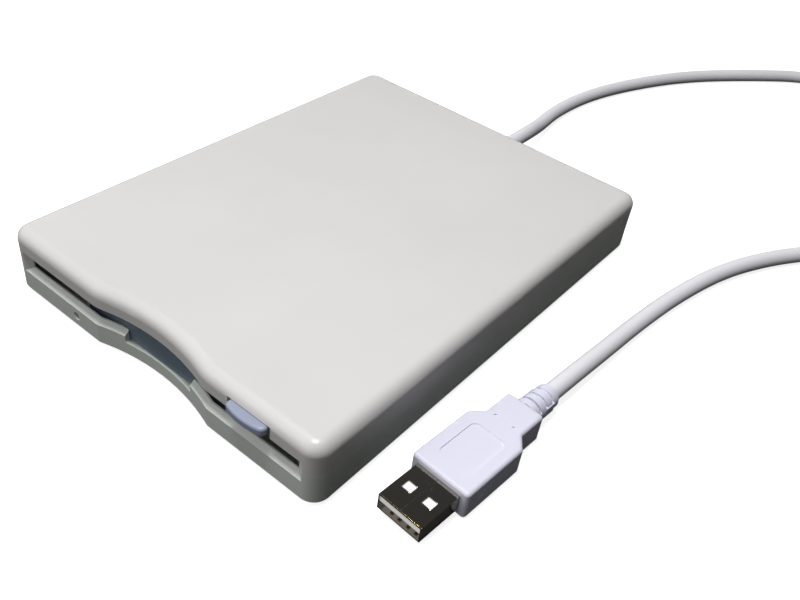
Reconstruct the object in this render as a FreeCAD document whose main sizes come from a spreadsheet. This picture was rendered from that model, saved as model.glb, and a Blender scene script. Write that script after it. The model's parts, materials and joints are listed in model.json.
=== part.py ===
"""External 3.5 inch floppy disk drive with its USB cord.

The origin is on the surface that the drive stands on, under the middle of its case. X runs to the
right as seen from the disk slot, Y to the rear and Z up. All sizes are in millimetres.
"""
import FreeCAD, Part
import math
import os
from types import SimpleNamespace

from FreeCAD import Placement, Rotation, Vector

# Driving sizes. Each becomes a cell of the sheet, and every piece is bound to those cells.
SIZES = {
    # case: two shells that meet half way up the sides
    "case_width": 105.0,
    "case_depth": 140.0,
    "case_height": 17.5,
    "foot_height": 0.8,
    "foot_radius": 4.5,
    "foot_inset": 13.0,
    "parting_height": 8.8,
    "corner_radius": 4.3,
    "top_edge_radius": 3.2,
    "bottom_edge_radius": 0.6,
    "side_wall": 1.8,
    "roof_wall": 1.6,
    "base_wall": 1.5,
    "inner_corner_radius": 2.5,
    "lap_height": 1.0,
    "lap_wall": 0.8,
    "lap_gap": 0.1,
    # the concave wave across the front
    "wave_radius": 60.7,
    "lower_wave_depth": 3.15,
    "lower_wave_blend": 2.0,
    "upper_wave_depth": 2.9,
    "upper_wave_blend": 12.0,
    # disk slot, its lip and the finger notch
    "slot_inset": 6.3,
    "slot_top": 11.7,
    "slot_flare": 2.0,
    "lip_front": 5.9,
    "lip_back": 7.1,
    "lip_depth": 1.4,
    "notch_half_width": 11.5,
    "notch_height": 4.0,
    # dust flap behind the slot
    "flap_inset": 25.5,
    "flap_to_button": 8.1,
    "flap_setback": 3.6,
    "flap_thickness": 0.8,
    "flap_bottom": 4.2,
    "flap_axis": 13.6,
    "flap_pin_radius": 0.45,
    "flap_pin_length": 1.1,
    "flap_ear": 1.3,
    # eject button
    "button_inset": 19.9,
    "button_width": 11.4,
    "button_proud": 2.3,
    "button_thickness": 2.4,
    "button_top": 14.7,
    "button_length": 9.4,
    "button_crown": 0.9,
    "button_rim": 0.7,
    "button_gap": 0.7,
    # indicator lamp
    "lamp_to_flap": 0.7,
    "lamp_height": 3.3,
    "lamp_radius": 0.8,
    "lamp_sink": 0.35,
    "lamp_tube_radius": 1.9,
    # case screws
    "boss_inset_x": 4.2,
    "boss_inset_y": 5.5,
    "boss_radius": 1.9,
    "screw_radius": 0.95,
    "screw_head_radius": 1.8,
    "screw_head_height": 1.1,
    "screw_sink": 0.9,
    "fit_gap": 0.05,
    # drive unit inside
    "unit_inset": 4.5,
    "unit_setback": 10.0,
    "unit_rear_room": 9.5,
    "unit_base": 2.3,
    "unit_top": 15.0,
    "frame_sheet": 0.8,
    "cover_sheet": 0.4,
    "cover_setback": 8.0,
    "cover_skirt": 2.2,
    # disk holder
    "disk_width": 90.0,
    "holder_inset": 7.0,
    "holder_sheet": 0.6,
    "holder_setback": 4.0,
    "holder_length": 87.0,
    "holder_tail_length": 15.0,
    "holder_floor": 7.15,
    "holder_clear": 4.2,
    "holder_flange": 6.5,
    "holder_drop": 1.8,
    "holder_pin_radius": 1.0,
    "pin_setback": 16.0,
    "pin_spacing": 54.0,
    "holder_pin_height": 9.4,
    "head_window": 11.0,
    "head_window_setback": 59.0,
    # slider plate that the button drives
    "slider_travel": 4.5,
    "slider_height": 12.95,
    "slider_setback": 8.0,
    "slider_length": 70.0,
    "slider_gap": 0.2,
    "slider_skirt": 5.4,
    "slider_tab_width": 9.2,
    "slider_tab_grip": 5.0,
    # spindle
    "spindle_setback": 42.0,
    "rotor_radius": 18.0,
    "rotor_top": 5.2,
    "rotor_height": 1.3,
    "rotor_sheet": 0.4,
    "magnet_wall": 1.2,
    "hub_radius": 12.0,
    "hub_height": 0.9,
    "shaft_radius": 1.5,
    "spigot_radius": 2.0,
    "spigot_height": 0.8,
    "drive_pin_radius": 1.0,
    "drive_pin_offset": 8.2,
    "bearing_radius": 3.0,
    "coil_count": 12.0,
    "board_sheet": 0.5,
    # head carriage
    "head_reach": 39.5,
    "head_travel": 14.8,
    "head_size": 7.0,
    "rod_offset": 16.0,
    "rod_height": 5.2,
    "rod_radius": 1.5,
    "rod_setback": 5.8,
    "carriage_room": 13.1,
    "carriage_length": 11.0,
    "arm_axis_room": 5.5,
    "arm_axis_z": 12.2,
    "arm_sheet": 0.8,
    # stepper motor and lead screw
    "stepper_offset": 26.0,
    "stepper_height": 8.1,
    "stepper_radius": 4.6,
    "stepper_room": 9.5,
    "stepper_length": 9.4,
    "lead_screw_radius": 1.2,
    "bracket_sheet": 0.8,
    # shutter lever
    "lever_x": -16.0,
    "lever_setback": 4.0,
    "lever_length": 30.0,
    "lever_start": -95.0,
    "lever_swing": 65.5,
    "lever_sheet": 0.5,
    "lever_pin_radius": 1.0,
    # cord and plug
    "cord_diameter": 4.8,
    "exit_height": 7.2,
    "relief_length": 12.0,
    "relief_radius": 3.5,
    "relief_neck": 2.8,
    "coil_x": 112.0,
    "coil_y": 196.0,
    "coil_radius": 28.8,
    "coil_step": 6.4,
    "coil_layer": 5.3,
    "coil_start": 58.0,
    "coil_end": -23.0,
    "tie_thickness": 0.6,
    "tie_width": 5.0,
    "plug_x": 68.5,
    "plug_y": -49.1,
    "plug_turn": 4.1,
    "plug_width": 16.0,
    "plug_height": 8.0,
    "plug_grip_length": 19.0,
    "plug_shoulder": 3.5,
    "plug_neck_width": 10.4,
    "plug_length": 31.0,
    "plug_relief_length": 10.4,
    "plug_relief_radius": 3.7,
    "plug_shell_width": 12.0,
    "plug_shell_height": 4.5,
    "plug_shell_length": 12.2,
    "plug_shell_sheet": 0.3,
}

# The cord's free stretches, chosen by hand along the photographed curve, from the case to the coil
# and from the coil to the plug. The height of each point is that of the cord's centre.
REAR_ROUTE = [
    (0.0, 82.0, 8.0),
    (0.0, 92.0, 8.0),
    (-3.6, 107.0, 3.8),
    (-6.8, 126.0, 2.4),
    (-5.0, 149.0, 2.4),
    (3.0, 175.0, 2.4),
    (14.6, 200.0, 2.4),
    (32.0, 224.0, 2.4),
    (52.0, 247.0, 2.4),
    (77.0, 250.5, 2.6),
    (103.7, 235.6, 3.0),
]
FRONT_ROUTE = [
    (134.9, 176.4, 8.3),
    (126.5, 156.5, 3.6),
    (115.0, 135.0, 2.4),
    (103.0, 114.5, 2.4),
    (90.8, 97.0, 2.4),
    (81.8, 77.5, 2.4),
    (76.8, 56.0, 2.4),
    (74.2, 35.5, 2.4),
    (73.0, 17.0, 2.9),
]

doc = FreeCAD.newDocument("floppy_drive")
NODES = []


class Size:
    """A length, angle or count with the sheet formula that gives it."""

    def __init__(self, value, text):
        self.value = float(value)
        self.text = text

    @staticmethod
    def of(other):
        """Give a plain number a formula of its own."""
        if isinstance(other, Size):
            return other
        return Size(other, "(%.6f)" % other)

    def joined(self, other, sign, value):
        """Combine two formulas and their value."""
        return Size(value, "(%s %s %s)" % (self.text, sign, other.text))

    def __add__(self, other):
        other = Size.of(other)
        return self.joined(other, "+", self.value + other.value)

    def __sub__(self, other):
        other = Size.of(other)
        return self.joined(other, "-", self.value - other.value)

    def __mul__(self, other):
        other = Size.of(other)
        return self.joined(other, "*", self.value * other.value)

    def __truediv__(self, other):
        other = Size.of(other)
        return self.joined(other, "/", self.value / other.value)

    def __radd__(self, other):
        return Size.of(other) + self

    def __rsub__(self, other):
        return Size.of(other) - self

    def __rmul__(self, other):
        return Size.of(other) * self

    def __neg__(self):
        return Size.of(0.0) - self

    def __float__(self):
        return self.value


def make_sheet():
    """Write every driving size into the sheet and return them as named sizes."""
    sheet = doc.addObject("Spreadsheet::Sheet", "Sizes")
    named = {}
    for row, (alias, value) in enumerate(SIZES.items(), start=1):
        sheet.set("A%d" % row, alias)
        sheet.set("B%d" % row, str(value))
        sheet.setAlias("B%d" % row, alias)
        named[alias] = Size(value, "Sizes." + alias)
    doc.recompute()
    return SimpleNamespace(**named)


s = make_sheet()

# Positions that follow the case's own size
s.slot_half_width = s.case_width / 2 - s.slot_inset
s.boss_offset_x = s.case_width / 2 - s.boss_inset_x
s.boss_offset_y = s.case_depth / 2 - s.boss_inset_y
s.button_centre = s.case_width / 2 - s.button_inset
s.flap_left = s.case_width / 2 - s.flap_inset
s.flap_right = s.button_centre - s.flap_to_button
s.lamp_offset = s.flap_left + s.lamp_to_flap
s.unit_half_width = s.case_width / 2 - s.unit_inset
s.unit_front = s.unit_setback - s.case_depth / 2
s.unit_rear = s.case_depth / 2 - s.unit_rear_room
s.cover_front = s.unit_front + s.cover_setback
s.holder_half_inside = s.case_width / 2 - s.holder_inset
s.holder_front = s.unit_front + s.holder_setback
s.holder_rear = s.holder_front + s.holder_length
s.holder_tail = s.holder_rear + s.holder_tail_length
s.holder_pin_front = s.holder_front + s.pin_setback
s.holder_pin_rear = s.holder_pin_front + s.pin_spacing
s.head_window_front = s.holder_front + s.head_window_setback
s.slider_front = s.holder_front + s.slider_setback
s.slider_rear = s.slider_front + s.slider_length
s.spindle_y = s.holder_front + s.spindle_setback
s.head_y = s.spindle_y + s.head_reach
s.rod_front = s.head_y + s.rod_setback
s.carriage_front = s.unit_rear - s.carriage_room
s.arm_axis_y = s.unit_rear - s.arm_axis_room
s.stepper_front = s.unit_rear - s.stepper_room
s.lever_y = s.holder_tail - s.lever_setback


# Small makers of solids. A pair (low, high) gives a block's reach along one axis.

def bind(piece, name, size):
    """Set a property and tie it to the sheet."""
    size = Size.of(size)
    piece.setExpression(name, size.text)


def set_place(piece, x, y, z, rotation=None):
    """Place a piece with its base tied to the sheet."""
    values = [float(v) for v in (x, y, z)]
    piece.Placement = Placement(Vector(*values), rotation or Rotation())
    for axis, size in zip("xyz", (x, y, z)):
        bind(piece, "Placement.Base." + axis, size)


def block(name, x, y, z):
    """A block between the low and high ends of three pairs."""
    piece = doc.addObject("Part::Box", name)
    for prop, (low, high) in zip(("Length", "Width", "Height"), (x, y, z)):
        setattr(piece, prop, float(high) - float(low))
        bind(piece, prop, Size.of(high) - Size.of(low))
    set_place(piece, x[0], y[0], z[0])
    return piece


AXES = {
    "Z": Rotation(),
    "Y": Rotation(Vector(1, 0, 0), -90),
    "X": Rotation(Vector(0, 1, 0), 90),
}


def rod(name, centre, radius, length, axis="Z"):
    """A round bar that starts at centre and runs along an axis."""
    piece = doc.addObject("Part::Cylinder", name)
    piece.Radius = float(radius)
    piece.Height = float(length)
    bind(piece, "Radius", radius)
    bind(piece, "Height", length)
    set_place(piece, *centre, rotation=AXES[axis])
    return piece


def cone(name, centre, radius1, radius2, length, axis="Z"):
    """A round taper that starts at centre and runs along an axis."""
    piece = doc.addObject("Part::Cone", name)
    for prop, size in (("Radius1", radius1), ("Radius2", radius2), ("Height", length)):
        setattr(piece, prop, float(size))
        bind(piece, prop, size)
    set_place(piece, *centre, rotation=AXES[axis])
    return piece


def joined(name, pieces):
    """One solid, or group, from several."""
    fused = doc.addObject("Part::MultiFuse", name)
    fused.Shapes = pieces
    return fused


def cut(name, base, tools):
    """Take tools away from a base."""
    tool = tools[0] if len(tools) == 1 else joined(name + "_tools", tools)
    piece = doc.addObject("Part::Cut", name)
    piece.Base = base
    piece.Tool = tool
    return piece


def shared(name, one, other):
    """What two pieces have in common."""
    piece = doc.addObject("Part::Common", name)
    piece.Base = one
    piece.Tool = other
    return piece


def tube(name, centre, outer, inner, length, axis="Z"):
    """A round bar with a bore right through."""
    return cut(name, rod(name + "_outer", centre, outer, length, axis),
               [rod(name + "_bore", centre, inner, length, axis)])


def node(label, piece):
    """Register a finished piece under its node name."""
    piece.Label = label
    NODES.append((label, piece))
    return piece


def group(label, pieces):
    """Separate identical pieces that share one node."""
    together = doc.addObject("Part::Compound", label + "_group")
    together.Links = pieces
    return node(label, together)


# Sketched bodies

def new_body(name):
    return doc.addObject("PartDesign::Body", name)


def new_sketch(body, name, role, offset=0.0):
    """A sketch on one of the body's own origin planes, moved along its normal."""
    sketch = body.newObject("Sketcher::SketchObject", name)
    plane = [feature for feature in body.Origin.OriginFeatures if feature.Role == role][0]
    sketch.AttachmentSupport = [(plane, "")]
    sketch.MapMode = "FlatFace"
    sketch.AttachmentOffset = Placement(Vector(0, 0, float(offset)), Rotation())
    bind(sketch, "AttachmentOffset.Base.z", offset)
    return sketch


def hold(sketch, kind, *args):
    """Add a constraint whose last argument is a size tied to the sheet."""
    import Sketcher
    *geometry, size = args
    size = Size.of(size)
    index = sketch.addConstraint(Sketcher.Constraint(kind, *geometry, float(size)))
    sketch.setExpression("Constraints[%d]" % index, size.text)


def sketch_circle(sketch, x, y, radius):
    """A circle held by its centre and radius."""
    circle = sketch.addGeometry(Part.Circle(Vector(float(x), float(y), 0), Vector(0, 0, 1), float(radius)))
    hold(sketch, "DistanceX", -1, 1, circle, 3, x)
    hold(sketch, "DistanceY", -1, 1, circle, 3, y)
    hold(sketch, "Radius", circle, radius)


def sketch_rectangle(sketch, x, y, radius=None):
    """A rectangle between two pairs, with round corners where a radius is given."""
    import Sketcher
    x0, x1 = float(x[0]), float(x[1])
    y0, y1 = float(y[0]), float(y[1])
    r = float(radius) if radius else 0.0
    ends = [((x0 + r, y0), (x1 - r, y0)), ((x1, y0 + r), (x1, y1 - r)),
            ((x1 - r, y1), (x0 + r, y1)), ((x0, y1 - r), (x0, y0 + r))]
    sides = [sketch.addGeometry(Part.LineSegment(Vector(*a, 0), Vector(*b, 0))) for a, b in ends]
    for index, side in enumerate(sides):
        sketch.addConstraint(Sketcher.Constraint("Vertical" if index % 2 else "Horizontal", side))
    if radius:
        centres = [(x1 - r, y0 + r), (x1 - r, y1 - r), (x0 + r, y1 - r), (x0 + r, y0 + r)]
        arcs = []
        for index, centre in enumerate(centres):
            circle = Part.Circle(Vector(*centre, 0), Vector(0, 0, 1), r)
            start = math.radians(-90 + 90 * index)
            arcs.append(sketch.addGeometry(Part.ArcOfCircle(circle, start, start + math.pi / 2)))
        for index, arc in enumerate(arcs):
            sketch.addConstraint(Sketcher.Constraint("Tangent", sides[index], 2, arc, 1))
            sketch.addConstraint(Sketcher.Constraint("Tangent", arc, 2, sides[(index + 1) % 4], 1))
            if index:
                sketch.addConstraint(Sketcher.Constraint("Equal", arcs[0], arc))
        hold(sketch, "Radius", arcs[0], radius)
    else:
        for index in range(4):
            joint = Sketcher.Constraint("Coincident", sides[index], 2, sides[(index + 1) % 4], 1)
            sketch.addConstraint(joint)
    hold(sketch, "DistanceY", -1, 1, sides[0], 1, y[0])
    hold(sketch, "DistanceX", -1, 1, sides[1], 1, x[1])
    hold(sketch, "DistanceY", -1, 1, sides[2], 1, y[1])
    hold(sketch, "DistanceX", -1, 1, sides[3], 1, x[0])


def sketch_outline(sketch, points):
    """A closed outline of straight sides whose corners are tied to the sheet."""
    import Sketcher
    count = len(points)
    flat = [Vector(float(x), float(y), 0) for x, y in points]
    sides = [sketch.addGeometry(Part.LineSegment(flat[i], flat[(i + 1) % count])) for i in range(count)]
    for index in range(count):
        joint = Sketcher.Constraint("Coincident", sides[index], 2, sides[(index + 1) % count], 1)
        sketch.addConstraint(joint)
    for side, (x, y) in zip(sides, points):
        hold(sketch, "DistanceX", -1, 1, side, 1, x)
        hold(sketch, "DistanceY", -1, 1, side, 1, y)


def pad(body, sketch, length, backwards=False):
    """Raise a sketch to a solid."""
    feature = body.newObject("PartDesign::Pad", sketch.Name + "_pad")
    feature.Profile = sketch
    feature.Reversed = backwards
    feature.Length = float(length)
    bind(feature, "Length", length)
    doc.recompute()
    return feature


def pocket(body, sketch, length, backwards=False):
    """Cut a sketch into the solid and make sure that it took something away."""
    before = body.Shape.Volume
    feature = body.newObject("PartDesign::Pocket", sketch.Name + "_pocket")
    feature.Profile = sketch
    feature.Reversed = backwards
    feature.Length = float(length)
    bind(feature, "Length", length)
    doc.recompute()
    if body.Shape.Volume > before - 1e-6:
        raise RuntimeError("%s cuts nothing" % sketch.Name)
    return feature


def round_edges(body, feature, radius, wanted):
    """Round the edges of a feature that a test picks."""
    names = ["Edge%d" % (i + 1) for i, edge in enumerate(feature.Shape.Edges) if wanted(edge)]
    if not names:
        raise RuntimeError("no edge to round on %s" % feature.Name)
    fillet = body.newObject("PartDesign::Fillet", feature.Name + "_round")
    fillet.Base = (feature, names)
    fillet.Radius = float(radius)
    bind(fillet, "Radius", radius)
    doc.recompute()
    return fillet


def at_height(level):
    """A test for edges that lie flat at one height."""
    def test(edge):
        box = edge.BoundBox
        return abs(box.ZMin - level) < 1e-4 and abs(box.ZMax - level) < 1e-4
    return test


def upright_at(places):
    """A test for upright edges near one of the given (x, y) places."""
    def test(edge):
        box = edge.BoundBox
        if box.XLength > 1e-4 or box.YLength > 1e-4 or box.ZLength < 0.1:
            return False
        return any(math.hypot(box.XMin - x, box.YMin - y) < 0.6 for x, y in places)
    return test


def rounded_block(name, x, y, z, radius):
    """A block with round upright corners."""
    body = new_body(name)
    sketch = new_sketch(body, name + "_sketch", "XY_Plane", z[0])
    sketch_rectangle(sketch, x, y, radius)
    pad(body, sketch, Size.of(z[1]) - Size.of(z[0]))
    return body


def revolved(name, points, centre, axis="Z"):
    """A turned piece: the outline gives (radius, distance along the axis) pairs."""
    body = new_body(name)
    sketch = new_sketch(body, name + "_sketch", "XZ_Plane")
    sketch_outline(sketch, points)
    turn = body.newObject("PartDesign::Revolution", name + "_turn")
    turn.Profile = sketch
    turn.ReferenceAxis = (sketch, ["V_Axis"])
    turn.Angle = 360
    doc.recompute()
    set_place(body, *centre, rotation=AXES[axis])
    return body


# Heights and planes that several pieces share

half_width = s.case_width / 2
front = -s.case_depth / 2
rear = s.case_depth / 2
case_base = s.foot_height
case_top = case_base + s.case_height
parting = case_base + s.parting_height
base_inside = case_base + s.base_wall
roof_inside = case_top - s.roof_wall
slot_top = case_base + s.slot_top
lip_front = case_base + s.lip_front
lip_back = case_base + s.lip_back
flap_face = front + s.flap_setback
flap_back = flap_face + s.flap_thickness
flap_axis_y = flap_face + s.flap_thickness / 2
flap_axis_z = case_base + s.flap_axis
frame_base = case_base + s.unit_base
frame_floor = frame_base + s.frame_sheet
cover_top = case_base + s.unit_top
cover_under = cover_top - s.cover_sheet
holder_floor = case_base + s.holder_floor
holder_roof = holder_floor + s.holder_clear
holder_outside = s.holder_half_inside + s.holder_sheet
holder_skin = holder_roof + s.holder_sheet
slider_under = case_base + s.slider_height
slider_top = slider_under + s.holder_sheet
slider_inside = holder_outside + s.slider_gap
slider_outside = slider_inside + s.holder_sheet
frame_inside = s.unit_half_width - s.frame_sheet
pin_height = case_base + s.holder_pin_height
button_top = case_base + s.button_top
button_under = button_top - s.button_thickness
button_left = s.button_centre - s.button_width / 2
button_right = s.button_centre + s.button_width / 2
rotor_top = case_base + s.rotor_top
hub_top = rotor_top + s.hub_height
rod_z = case_base + s.rod_height
arm_z = case_base + s.arm_axis_z
exit_z = case_base + s.exit_height


def wave_axis(depth):
    """The Y of the wave's axis, out in front of the case."""
    return front + depth - s.wave_radius


def wave_blend_x(depth, blend):
    """Half the width of the wave where the straight front begins."""
    reach = float(s.wave_radius)
    return math.sqrt(reach ** 2 - (reach - float(depth)) ** 2)


def outer_form(name, low, high, depth, blend):
    """The outside of one shell, as a rounded block with the wave cut across its front."""
    body = new_body(name)
    sketch = new_sketch(body, name + "_outline", "XY_Plane", low)
    sketch_rectangle(sketch, (-half_width, half_width), (front, rear), s.corner_radius)
    pad(body, sketch, high - low)
    wave = new_sketch(body, name + "_wave", "XY_Plane", high)
    sketch_circle(wave, 0, wave_axis(depth), s.wave_radius)
    cutting = pocket(body, wave, high - low)
    half_chord = wave_blend_x(depth, blend)
    corners = [(half_chord, float(front)), (-half_chord, float(front))]
    return body, round_edges(body, cutting, blend, upright_at(corners))


def inner_form(name, low, high, depth):
    """The space inside one shell, kept one wall behind the wave."""
    wall = s.side_wall
    space = rounded_block(name + "_space", (-half_width + wall, half_width - wall),
                          (front + wall, rear - wall), (low, high), s.inner_corner_radius)
    behind = rod(name + "_behind_wave", (0, wave_axis(depth), low - 1), s.wave_radius + wall,
                 high - low + 2)
    return cut(name, space, [behind])


def slot_cutter(name):
    """The disk slot with its flared ends and sloping lip, as one tool for both shells."""
    half = s.slot_half_width
    mouth = half + s.slot_flare
    through = block(name + "_through", (-half, half), (front - 3, front + 6), (lip_back, slot_top))
    flare = doc.addObject("Part::Wedge", name + "_flare")
    for prop, size in (("Xmin", -mouth), ("Xmax", mouth), ("X2min", -half), ("X2max", half),
                       ("Ymin", front), ("Ymax", front + s.lip_depth),
                       ("Zmin", lip_front), ("Zmax", slot_top), ("Z2min", lip_back), ("Z2max", slot_top)):
        setattr(flare, prop, float(size))
        bind(flare, prop, size)
    ahead = block(name + "_ahead", (-mouth, mouth), (front - 3, front), (lip_front, slot_top))
    axis = wave_axis(s.lower_wave_depth)
    around = cone(name + "_around_wave", (0, axis, lip_front), s.wave_radius,
                  s.wave_radius + s.lip_depth, lip_back - lip_front)
    sector = block(name + "_sector", (-s.slot_half_width / 2, s.slot_half_width / 2),
                   (front - 3, front + 8), (lip_front, lip_back))
    return joined(name, [through, flare, ahead, shared(name + "_wave_lip", around, sector)])


def boss_places():
    """Where the four case screws stand."""
    for x in (-s.boss_offset_x, s.boss_offset_x):
        for y in (-s.boss_offset_y, s.boss_offset_y):
            yield x, y


def top_shell():
    """Upper case shell: wave, crowned edge, flap ears, screw bosses and the button's notch."""
    body, blended = outer_form("top_outside", parting, case_top, s.upper_wave_depth, s.upper_wave_blend)
    round_edges(body, blended, s.top_edge_radius, at_height(float(case_top)))
    hollow = inner_form("top_hollow", parting - 1, roof_inside, s.upper_wave_depth)
    shell = cut("top_hollowed", body, [hollow])
    added = []
    for index, (x, y) in enumerate(boss_places()):
        added.append(rod("top_boss_%d" % index, (x, y, parting + s.lap_gap), s.boss_radius,
                         case_top - parting - s.roof_wall / 2))
    gap = s.fit_gap * 4
    ears = ((-s.flap_left - gap - s.flap_ear, -s.flap_left - gap),
            (s.flap_right + gap, s.flap_right + gap + s.flap_ear))
    for index, reach in enumerate(ears):
        added.append(block("flap_ear_%d" % index, reach, (front + 1, flap_back + 1.2),
                           (flap_axis_z - 1.3, roof_inside + 0.4)))
    for index, y in enumerate((s.case_depth * -0.2, s.case_depth * 0.05, s.case_depth * 0.3)):
        added.append(block("roof_rib_%d" % index, (-half_width + s.side_wall / 2, half_width - s.side_wall / 2),
                           (y, y + 1), (cover_top + 0.1, roof_inside + 0.4)))
    shell = joined("top_with_bosses", [shell] + added)
    tools = [slot_cutter("top_slot")]
    for index, (x, y) in enumerate(boss_places()):
        tools.append(rod("top_pilot_%d" % index, (x, y, parting - 1), s.screw_radius + s.fit_gap, 6.5))
    tools.append(block("flap_room", (-s.flap_left - gap, s.flap_right + gap),
                       (flap_face - 0.1, flap_face + 4), (parting - 1, flap_axis_z + 1)))
    tools.append(rod("flap_pin_bore", (-s.flap_left - s.flap_pin_length - gap, flap_axis_y, flap_axis_z),
                     s.flap_pin_radius + s.fit_gap,
                     s.flap_left + s.flap_right + 2 * s.flap_pin_length + 2 * gap, "X"))
    tools.append(block("button_notch", (button_left - s.button_gap, button_right + s.button_gap),
                       (front - 1, front + s.side_wall + 0.5), (slot_top - 0.5, button_top + 0.25)))
    tools.append(rod("relief_seat_top", (0, rear - s.side_wall - 1, exit_z),
                     s.relief_radius - 0.6 + s.fit_gap, s.side_wall + 2, "Y"))
    lap = s.side_wall - s.lap_wall - s.lap_gap
    groove = rounded_block("lap_groove", (-half_width + lap, half_width - lap),
                           (0, rear - lap), (parting - 1, parting + s.lap_height + s.lap_gap),
                           s.inner_corner_radius)
    tools.append(groove)
    return node("top_shell", cut("top_shell_cut", shell, tools))


def bottom_shell():
    """Lower case shell: wave, sloping lip, finger notch, lamp hole and counterbored screw bosses."""
    body, blended = outer_form("bottom_outside", case_base, parting, s.lower_wave_depth, s.lower_wave_blend)
    round_edges(body, blended, s.bottom_edge_radius, at_height(float(case_base)))
    hollow = inner_form("bottom_hollow", base_inside, parting + 1, s.lower_wave_depth)
    shell = cut("bottom_hollowed", body, [hollow])
    lap_edge = s.side_wall - s.lap_wall
    lap_outer = rounded_block("lap_outer", (-half_width + lap_edge, half_width - lap_edge),
                              (1.0, rear - lap_edge), (parting - 1, parting + s.lap_height),
                              s.inner_corner_radius)
    lap_inner = rounded_block("lap_inner", (-half_width + s.side_wall, half_width - s.side_wall),
                              (-1.0 * s.inner_corner_radius, rear - s.side_wall),
                              (parting - 2, parting + 3), s.inner_corner_radius - s.lap_wall)
    added = [cut("lap_rim", lap_outer, [lap_inner])]
    for index, (x, y) in enumerate(boss_places()):
        added.append(rod("bottom_boss_%d" % index, (x, y, base_inside - 0.5), s.boss_radius,
                         parting - base_inside + 0.5))
    for index, (x, y) in enumerate(frame_screw_places()):
        added.append(rod("frame_post_%d" % index, (x, y, base_inside - 0.4), 2.6,
                         frame_base - base_inside + 0.4))
    lamp_x = -s.lamp_offset
    lamp_z = case_base + s.lamp_height
    added.append(rod("lamp_tube", (lamp_x, front + 0.8, lamp_z), s.lamp_tube_radius, 3.4, "Y"))
    shell = joined("bottom_with_bosses", [shell] + added)
    tools = [slot_cutter("bottom_slot")]
    notch = s.notch_half_width
    tools.append(block("finger_notch", (-notch, notch), (front - 1, front + 8),
                       (case_base + s.notch_height, parting + 1)))
    gap = s.fit_gap * 4
    tools.append(block("flap_pocket", (-s.flap_left - gap, s.flap_right + gap),
                       (flap_face - gap, front + 8), (case_base + s.notch_height, parting + 1)))
    for index, (x, y) in enumerate(boss_places()):
        tools.append(rod("bottom_hole_%d" % index, (x, y, case_base - 1), s.screw_radius + s.fit_gap,
                         s.case_height))
        tools.append(rod("bottom_bore_%d" % index, (x, y, case_base - 1), s.screw_head_radius + s.fit_gap,
                         1 + s.screw_sink + s.screw_head_height))
    for index, (x, y) in enumerate(frame_screw_places()):
        tools.append(rod("frame_pilot_%d" % index, (x, y, case_base + 0.5), 0.9 + s.fit_gap, 4))
    tools.append(rod("lamp_hole", (lamp_x, front - 1, lamp_z), s.lamp_radius + s.fit_gap, 8, "Y"))
    tools.append(cone("lamp_sink", (lamp_x, front - 0.01, lamp_z), s.lamp_radius + s.lamp_sink,
                      s.lamp_radius, s.lamp_sink, "Y"))
    tools.append(rod("relief_seat_bottom", (0, rear - s.side_wall - 1, exit_z),
                     s.relief_radius - 0.6 + s.fit_gap, s.side_wall + 2, "Y"))
    return node("bottom_shell", cut("bottom_shell_cut", shell, tools))


def rubber_feet():
    """Four round feet stuck under the corners."""
    feet = []
    for index, (x, y) in enumerate(((-1, -1), (1, -1), (-1, 1), (1, 1))):
        feet.append(rod("foot_%d" % index, (x * (half_width - s.foot_inset), y * (rear - s.foot_inset), 0),
                        s.foot_radius, s.foot_height))
    group("rubber_feet", feet)


def case_screws():
    """Four screws driven up from below through both shells."""
    screws = []
    for index, (x, y) in enumerate(boss_places()):
        seat = case_base + s.screw_sink
        head = rod("case_screw_head_%d" % index, (x, y, seat), s.screw_head_radius, s.screw_head_height)
        shank = rod("case_screw_shank_%d" % index, (x, y, seat), s.screw_radius, parting + 4.5 - seat)
        drive = rod("case_screw_drive_%d" % index, (x, y, seat), 0.7, 0.6)
        screws.append(cut("case_screw_%d" % index, joined("case_screw_solid_%d" % index, [head, shank]), [drive]))
    group("case_screws", screws)


def sketch_crowned(sketch, x, y, crown):
    """A rectangle whose front side bulges forward by a crown."""
    import Sketcher
    half = float(x[1] - x[0]) / 2
    radius = Size.of((half ** 2 + float(crown) ** 2) / (2 * float(crown)))
    middle = float(x[0]) + half
    shoulder = y[0] + crown
    left, right = Vector(float(x[0]), float(shoulder), 0), Vector(float(x[1]), float(shoulder), 0)
    far_left, far_right = Vector(float(x[0]), float(y[1]), 0), Vector(float(x[1]), float(y[1]), 0)
    circle = Part.Circle(Vector(middle, float(y[0]) + float(radius), 0), Vector(0, 0, 1), float(radius))
    spread = math.asin(half / float(radius))
    arc = sketch.addGeometry(Part.ArcOfCircle(circle, -math.pi / 2 - spread, -math.pi / 2 + spread))
    sides = [sketch.addGeometry(Part.LineSegment(*ends))
             for ends in ((right, far_right), (far_right, far_left), (far_left, left))]
    chain = [arc] + sides
    for index, piece in enumerate(chain):
        sketch.addConstraint(Sketcher.Constraint("Coincident", piece, 2, chain[(index + 1) % 4], 1))
    for piece, end_x, end_y in ((sides[0], x[1], shoulder), (sides[1], x[1], y[1]), (sides[2], x[0], y[1])):
        hold(sketch, "DistanceX", -1, 1, piece, 1, end_x)
        hold(sketch, "DistanceY", -1, 1, piece, 1, end_y)
    hold(sketch, "DistanceX", -1, 1, sides[2], 2, x[0])
    hold(sketch, "DistanceY", -1, 1, sides[2], 2, shoulder)
    hold(sketch, "Radius", arc, radius)


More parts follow.
